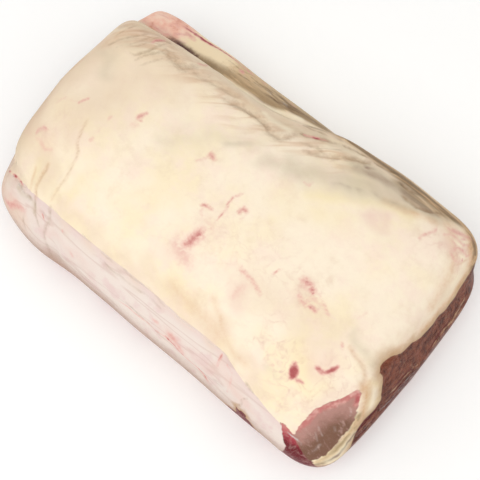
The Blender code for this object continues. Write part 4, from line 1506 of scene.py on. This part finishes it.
def fat_colour(g, ragged, cloudy, z):
    """The fat cover, from yellowish to rosy, whiter under the band, with painted shade on its rims, folds and
    wrinkles.
    """
    broad = g.noise(16, 3)
    fat = g.mixed(CREAM, BUTTER, broad.rise(0.38, 0.62))
    fat = g.mixed(fat, ROSY_CREAM, cloudy.rise(0.45, 0.68) * 0.8)
    fat = g.mixed(fat, MOTTLE_AND_SHADE_FAT, g.noise(60, 5, roughness=0.65).rise(0.50, 0.70) * 0.30)
    fat = g.mixed(fat, ROSY_CREAM, g.noise(150, 4, stretch=(0.6, 1, 1), roughness=0.7).rise(0.52, 0.70) * 0.4)
    lines = g.threads(80, 0.09, distortion=0.6) * (0.35 + ragged * 0.5)
    fat = g.mixed(fat, LOBE_LINE, lines * (g.field("lobe") + 0.10))
    fat = g.mixed(fat, band_colour(g, ragged, z), (g.field("band") + ragged * 0.15).rise(-0.2, 0.3))

    uneven = 0.5 + cloudy
    fat = g.mixed(fat, YELLOW, g.field("yellow") * uneven * 0.6)
    # Painted shade where the fat turns away from the light.
    fat = g.mixed(fat, MOTTLE_AND_SHADE_FAT, g.field("painted_shade"))
    # Tan zones, mostly painted shade along folds, seams and rims.
    fat = g.mixed(fat, TAN, (g.field("tan") * (1.0 + ragged * 0.5)).under(1.0) * 0.8)
    fat = g.mixed(fat, PINK, (g.field("pink") * uneven).under(1.0) * 0.7)
    # Painted shade where the fat turns to the lip side and the far end.
    fat = g.mixed(fat, SHADED_FAT, g.field("steep") * 0.5)
    # The fat by bare lean: tan of its own, and painted shade where it rounds over.
    fat = g.mixed(fat, TAN_AND_SHADE_EDGE, (g.field("beside") + ragged).rise(*TAN_EDGE) * 0.85)
    # Grey patches, and painted shade along the rim and in folds.
    grey = g.field("grey") * (0.60 + g.noise(45, 4, stretch=(0.5, 1, 1), roughness=0.6) * 0.8)
    fat = g.mixed(fat, g.mixed(GREY, MAUVE, grey.rise(0.55, 0.95)), grey.under(0.9))
    # Painted shade of the wrinkled film: brown with olive creases and lighter painted tops.
    drawn = g.noise(120, 4, stretch=(0.10, 1, 1), roughness=0.6)
    brown = g.mixed(TAN_AND_SHADE_EDGE, OLIVE_SHADE, drawn.rise(0.42, 0.58))
    brown = g.mixed(brown, LIP_TAN, (drawn.rise(0.37, 0.43) - drawn.rise(0.43, 0.49)) * 0.7)
    fat = g.mixed(fat, brown, g.field("brown"))
    # Fine ripple lines in the far corner, partly the fat's own tone and partly painted shade in the ripples.
    fan = g.threads(90, 0.12, stretch=(0.14, 1, 1), turn=FAN_WAY)
    return g.mixed(fat, FAN_LINE, fan * g.field("ripple") * 0.8)


def band_colour(g, ragged, z):
    """The fat under the top ply: mauve by its edge, white below that, and darker lower down, as painted shade
    where the flank turns under.
    """
    low_fat = g.mixed(BAND_WHITE, BAND_PINK, g.noise(55, 3).rise(0.48, 0.64))
    low_fat = g.mixed(low_fat, BAND_MAUVE, 1.0 - g.field("band").rise(1.0, 9.0))
    drawn = g.threads(60, 0.03, stretch=(0.10, 1, 1))
    low_fat = g.mixed(low_fat, BAND_LINE, drawn * 0.35)
    # Painted shade low on the flank.
    return g.mixed(low_fat, BAND_LOW_SHADE, 1.0 - (z + ragged * 0.003).rise(*BAND_SHADE_HEIGHTS))


def lip_colour(g, ragged, x):
    """The lip that shows beside the flap: pink tip, cream top, brown and drawn near its end, with painted
    shade beside the flap, in its drawn wrinkles and in the groove.
    """
    across = g.field("across") + ragged * 0.8
    along = x + ragged * 0.006
    mottled = g.noise(75, 4, roughness=0.65)
    tip = g.mixed(LIP_PINK, LIP_PALE, mottled.rise(0.42, 0.62))
    tip = g.mixed(LIP_RED, tip, mottled.rise(0.28, 0.46))
    lip = g.mixed(tip, LIP_CREAM, along.rise(*LIP_TIP_ENDS))
    lip = g.mixed(lip, LIP_TAN, along.rise(*LIP_CREAM_ENDS))
    lip = g.mixed(lip, LIP_BROWN, along.rise(*LIP_TAN_ENDS))
    drawn = g.noise(170, 4, stretch=(0.10, 1, 1), roughness=0.65)
    near_end = along.rise(*LIP_DRAWN_FROM)
    # Painted shadow beside the flap.
    shadow = (1.0 - across.rise(2.5, 10.0)) * (0.25 + along.rise(*LIP_SHADOW_FROM) * 0.6 - near_end * 0.35)
    lip = g.mixed(lip, OLIVE_SHADE, shadow)
    # Painted shade in the drawn wrinkles near the lip's end, with lighter painted tops between them.
    lip = g.mixed(lip, LIP_WRINKLE_SHADE, drawn.rise(0.51, 0.64) * near_end * 0.6)
    lip = g.mixed(LIP_TAN, lip, (drawn.rise(0.36, 0.46) + 1.0 - near_end).under(1.0))
    # Painted shade deep in the groove beside the flap.
    near_flap = 1.0 - across.rise(4.0, 8.0)
    dark = near_flap * along.rise(*GROOVE_SHADE_FROM) * (1.0 - along.rise(*GROOVE_SHADE_TO))
    return g.mixed(lip, GROOVE_SHADE, dark)


def lean_colour(g, ragged, z):
    """Bare lean: brown on the near end, red below the corner, mauve on the trimmed patch, with painted film
    highlights.
    """
    grain = g.noise(130, 5, roughness=0.68)
    fibres = g.noise(480, 3, stretch=(1, 1, 0.14), roughness=0.6)
    lean = g.mixed(LEAN_BROWN, LEAN_DARK, (grain * 0.8 + fibres * 0.5).rise(0.52, 0.80))
    flecks = g.noise(300, 4, stretch=(1, 1, 0.35), roughness=0.75).rise(0.56, 0.70)
    lean = g.mixed(lean, LEAN_FIBRE, flecks * 0.6)
    marbling = g.noise(150, 5, stretch=(1, 1, 0.5), roughness=0.7).rise(0.60, 0.70)
    lean = g.mixed(lean, SEAM_FAT, marbling * 0.35)
    lean = g.mixed(lean, LEAN_WET, g.stroked("streak", ragged * 0.8))
    seam = g.stroked("seam", ragged) * g.noise(90, 3).rise(0.40, 0.56)
    lean = g.mixed(lean, SEAM_FAT, seam)

    red = g.mixed(PATCH_BLOOD, LEAN_RED, (CORNER_RED_BELOW - z + ragged * 0.002).rise(0.000, 0.009))
    red = g.mixed(red, LEAN_BLOOD, (CORNER_BLOOD_BELOW - z + ragged * 0.003).rise(0.000, 0.010))
    creases = g.threads(120, 0.08, stretch=(1, 1, 0.4), distortion=0.5)
    red = g.mixed(red, MEMBRANE, creases * (0.3 + ragged * 0.4) * 0.6)
    lean = g.mixed(lean, red, (g.field("corner") + ragged * 0.5).rise(-0.5, 0.5))

    gap = g.field("rim_gap") + ragged * 1.6
    patch = g.mixed(PATCH_MAUVE, PATCH_BROWN, (gap + (grain - 0.5) * 12).rise(6.0, 22.0))
    pale = g.noise(260, 4, stretch=(0.5, 1, 0.22), roughness=0.7).rise(0.54, 0.70)
    patch = g.mixed(patch, MEMBRANE, pale * 0.45)
    rim = g.mixed(PATCH_RIM, PATCH_BLOOD, g.noise(110, 3).rise(0.40, 0.54))
    patch = g.mixed(patch, rim, (1.0 - gap.rise(1.5, 5.5)) * 0.85)
    patch = g.mixed(patch, LEAN_RED, g.stroked("red", ragged * 0.5))
    lean = g.mixed(lean, patch, (g.field("patch") + 0.8 + ragged * 0.15).rise(-0.5, 0.4))
    # Painted film highlights: glints on the patch and the sheen along the near end's hem.
    return g.mixed(lean, FILM_AND_HIGHLIGHT_WHITE, g.field("pale") * 0.35)


def meat_finish():
    """Fat cover, marks and bare lean, told apart by the fields that the mesh carries."""
    g = Graph("beef")
    ragged = (g.noise(330, 4, roughness=0.65) - 0.5) * 3.0 + (g.noise(120, 3) - 0.5) * 2.5
    cloudy = g.noise(42, 4, roughness=0.6)
    x = g.node("ShaderNodeSeparateXYZ", {}, {0: g.place}, "X")
    z = g.node("ShaderNodeSeparateXYZ", {}, {0: g.place}, "Z")

    fat = fat_colour(g, ragged, cloudy, z)
    fat = g.mixed(fat, lip_colour(g, ragged, x), g.field("lip"))
    # Painted shade in the wrinkles, darker on the lip and on the shaded film rim.
    shade = g.mixed(WRINKLE_SHADE, LIP_WRINKLE_SHADE, g.field("lip").over(g.field("brown")))
    fat = g.mixed(fat, shade, g.stroked("shade", ragged * 0.6) * 0.9)
    # Painted highlights along the flap's edge, on ridges and in glints.
    fat = g.mixed(fat, HIGHLIGHT_CREAM, (g.field("pale") * (1.0 + ragged * 0.3)).under(1.0))
    mark = g.stroked("red", ragged * 0.4) * (0.87 + g.noise(240, 3) * 0.5)
    marked = g.mixed(fat, PALE_RED, mark.rise(0.0, 0.7))
    marked = g.mixed(marked, DEEP_RED, mark.rise(0.35, 1.05))

    wet = (g.field("lean") + ragged * 1.1).rise(-0.5, 0.4)
    colour = g.mixed(marked, lean_colour(g, ragged, z), wet)
    membrane = g.mixed(LEAN_RED, MEMBRANE, g.noise(30, 4, stretch=(1, 0.3, 1)).rise(0.35, 0.62))
    colour = g.mixed(colour, membrane, g.field("under"))

    ripple = g.noise(110, 3, stretch=(0.14, 1, 1), turn=FAN_WAY) * g.field("ripple")
    height = g.noise(40, 5, roughness=0.5) * 0.9 + ripple * 1.8 + ragged * wet * 0.05 + g.noise(400, 2) * 0.04
    surface = g.node(
        "ShaderNodeBsdfPrincipled",
        {},
        {
            "Base Color": colour,
            "Roughness": FAT_ROUGHNESS - LEAN_SMOOTHER_BY * wet + (cloudy - 0.5) * 0.12,
            "Specular IOR Level": MEAT_SPECULAR,
            "Normal": g.bump(height, MEAT_BUMP),
        },
    )
    return g.finish(surface)


# ---------------------------------------------------------------------------
# The bag
# ---------------------------------------------------------------------------

# How far the pleats stand up, above this height over the floor.
PLEAT_HEIGHT = 0.0005
PLEATS_ABOVE = 0.006
FILM_BUMP = 0.0010
FILM_ROUGHNESS = 0.22
FILM_SPECULAR = 0.5
FILM_BENDING = 1.25

# Pleats of the bag, standing up in thin lines, their milky white partly a painted highlight: half width,
# softness, strength, points.
PLEATS = {
    "near cap": (
        0.7, 0.9, 0.65,
        (
            (182, 44, 31), (182, 8, 32), (182, -4, 34), (181, -18, 37), (180, -36, 39), (178, -54, 41),
            (176, -76, 40),
        ),
    ),
    "near low": (
        0.6, 0.9, 0.5,
        ((182, 70, 28), (183, 30, 29), (182, -11, 31), (180, -40, 36), (176, -72, 38)),
    ),
    "near rim": (0.5, 0.9, 0.35, ((183, 60, 24), (184, 10, 25), (183, -40, 28), (178, -80, 30))),
    "corner": (
        0.7, 0.7, 1.0,
        ((130, -106, 66), (140, -106, 62), (149, -106, 57), (154, -107, 50), (161, -108, 39)),
    ),
    "corner tuck": (0.5, 0.8, 0.7, ((138, -110, 50), (148, -110, 46), (154, -107, 50))),
    "corner tuck low": (0.5, 0.8, 0.7, ((142, -112, 38), (149, -111, 42), (157, -110, 34))),
    "corner fork": (0.5, 0.8, 0.6, ((149, -106, 56), (148, -110, 46), (146, -112, 34))),
    "flank low": (0.5, 1.0, 0.35, ((-60, -108, 50), (0, -110, 46), (70, -112, 44), (120, -111, 48))),
    "nub": (0.5, 0.9, 0.8, ((-172, -76, 44), (-158, -82, 56), (-150, -84, 61), (-138, -87, 66))),
    "band": (
        0.5, 0.7, 0.5,
        ((-112, -87, 76), (-69, -90, 81), (-25, -90, 81), (24, -92, 79), (68, -93, 80), (106, -102, 71)),
    ),
    "rim": (0.6, 1.0, 0.5, ((-100, 86, 86), (-60, 88, 88), (-20, 88, 90), (8, 86, 95), (32, 92, 90))),
    "lip": (0.6, 1.0, 0.5, ((-70, 99, 67), (-30, 102, 65), (10, 104, 64), (44, 103, 74))),
}


def make_bag():
    """The bag, on the form itself, with its pleats standing up."""
    skin = Skin("bag", BAG_FINENESS)
    inside, strength = strokes(skin.points, PLEATS, MARK_WAVER)
    skin.store("pleat", inside)
    skin.store("pleat_strength", strength)
    skin.store("band", below_band_edge(skin.points))
    raised = PLEAT_HEIGHT * strength * blend(-1.0, 1.0, inside) * (skin.points[:, 2] > PLEATS_ABOVE)
    skin.move_to(skin.points + skin.normals * raised[:, None])
    skin.to_object(bag_finish())


def bag_finish():
    """Thin clear film: mostly see-through, with a soft gloss and milky pleats, their white partly a painted
    highlight.
    """
    g = Graph("clear_film")
    band = g.field("band")
    pleat = g.stroked("pleat", (g.noise(160, 3) - 0.5) * 2.5)
    ripple = g.noise(260, 3, stretch=(0.08, 1, 1)) * band.rise(-1.0, 2.0)
    height = ripple * 0.35 + g.noise(45, 3) * 0.4
    normal = g.bump(height, FILM_BUMP)
    facing = g.node("ShaderNodeFresnel", {}, {"IOR": FILM_BENDING, "Normal": normal})
    # The pleats show more of the white film, partly as painted highlight.
    cover = (facing * 0.06 + 0.002 + pleat * 0.50).under(1.0)
    clear = g.node("ShaderNodeBsdfTransparent", {}, {"Color": (1, 1, 1, 1)})
    film = g.node(
        "ShaderNodeBsdfPrincipled",
        {},
        {
            "Base Color": FILM_AND_HIGHLIGHT_WHITE,
            "Roughness": FILM_ROUGHNESS,
            "Specular IOR Level": FILM_SPECULAR,
            "Normal": normal,
        },
    )
    return g.finish(g.node("ShaderNodeMixShader", {}, {0: cover, 1: clear, 2: film}))


place_camera()
light_studio()
lay_floor()
make_meat()
make_bag()
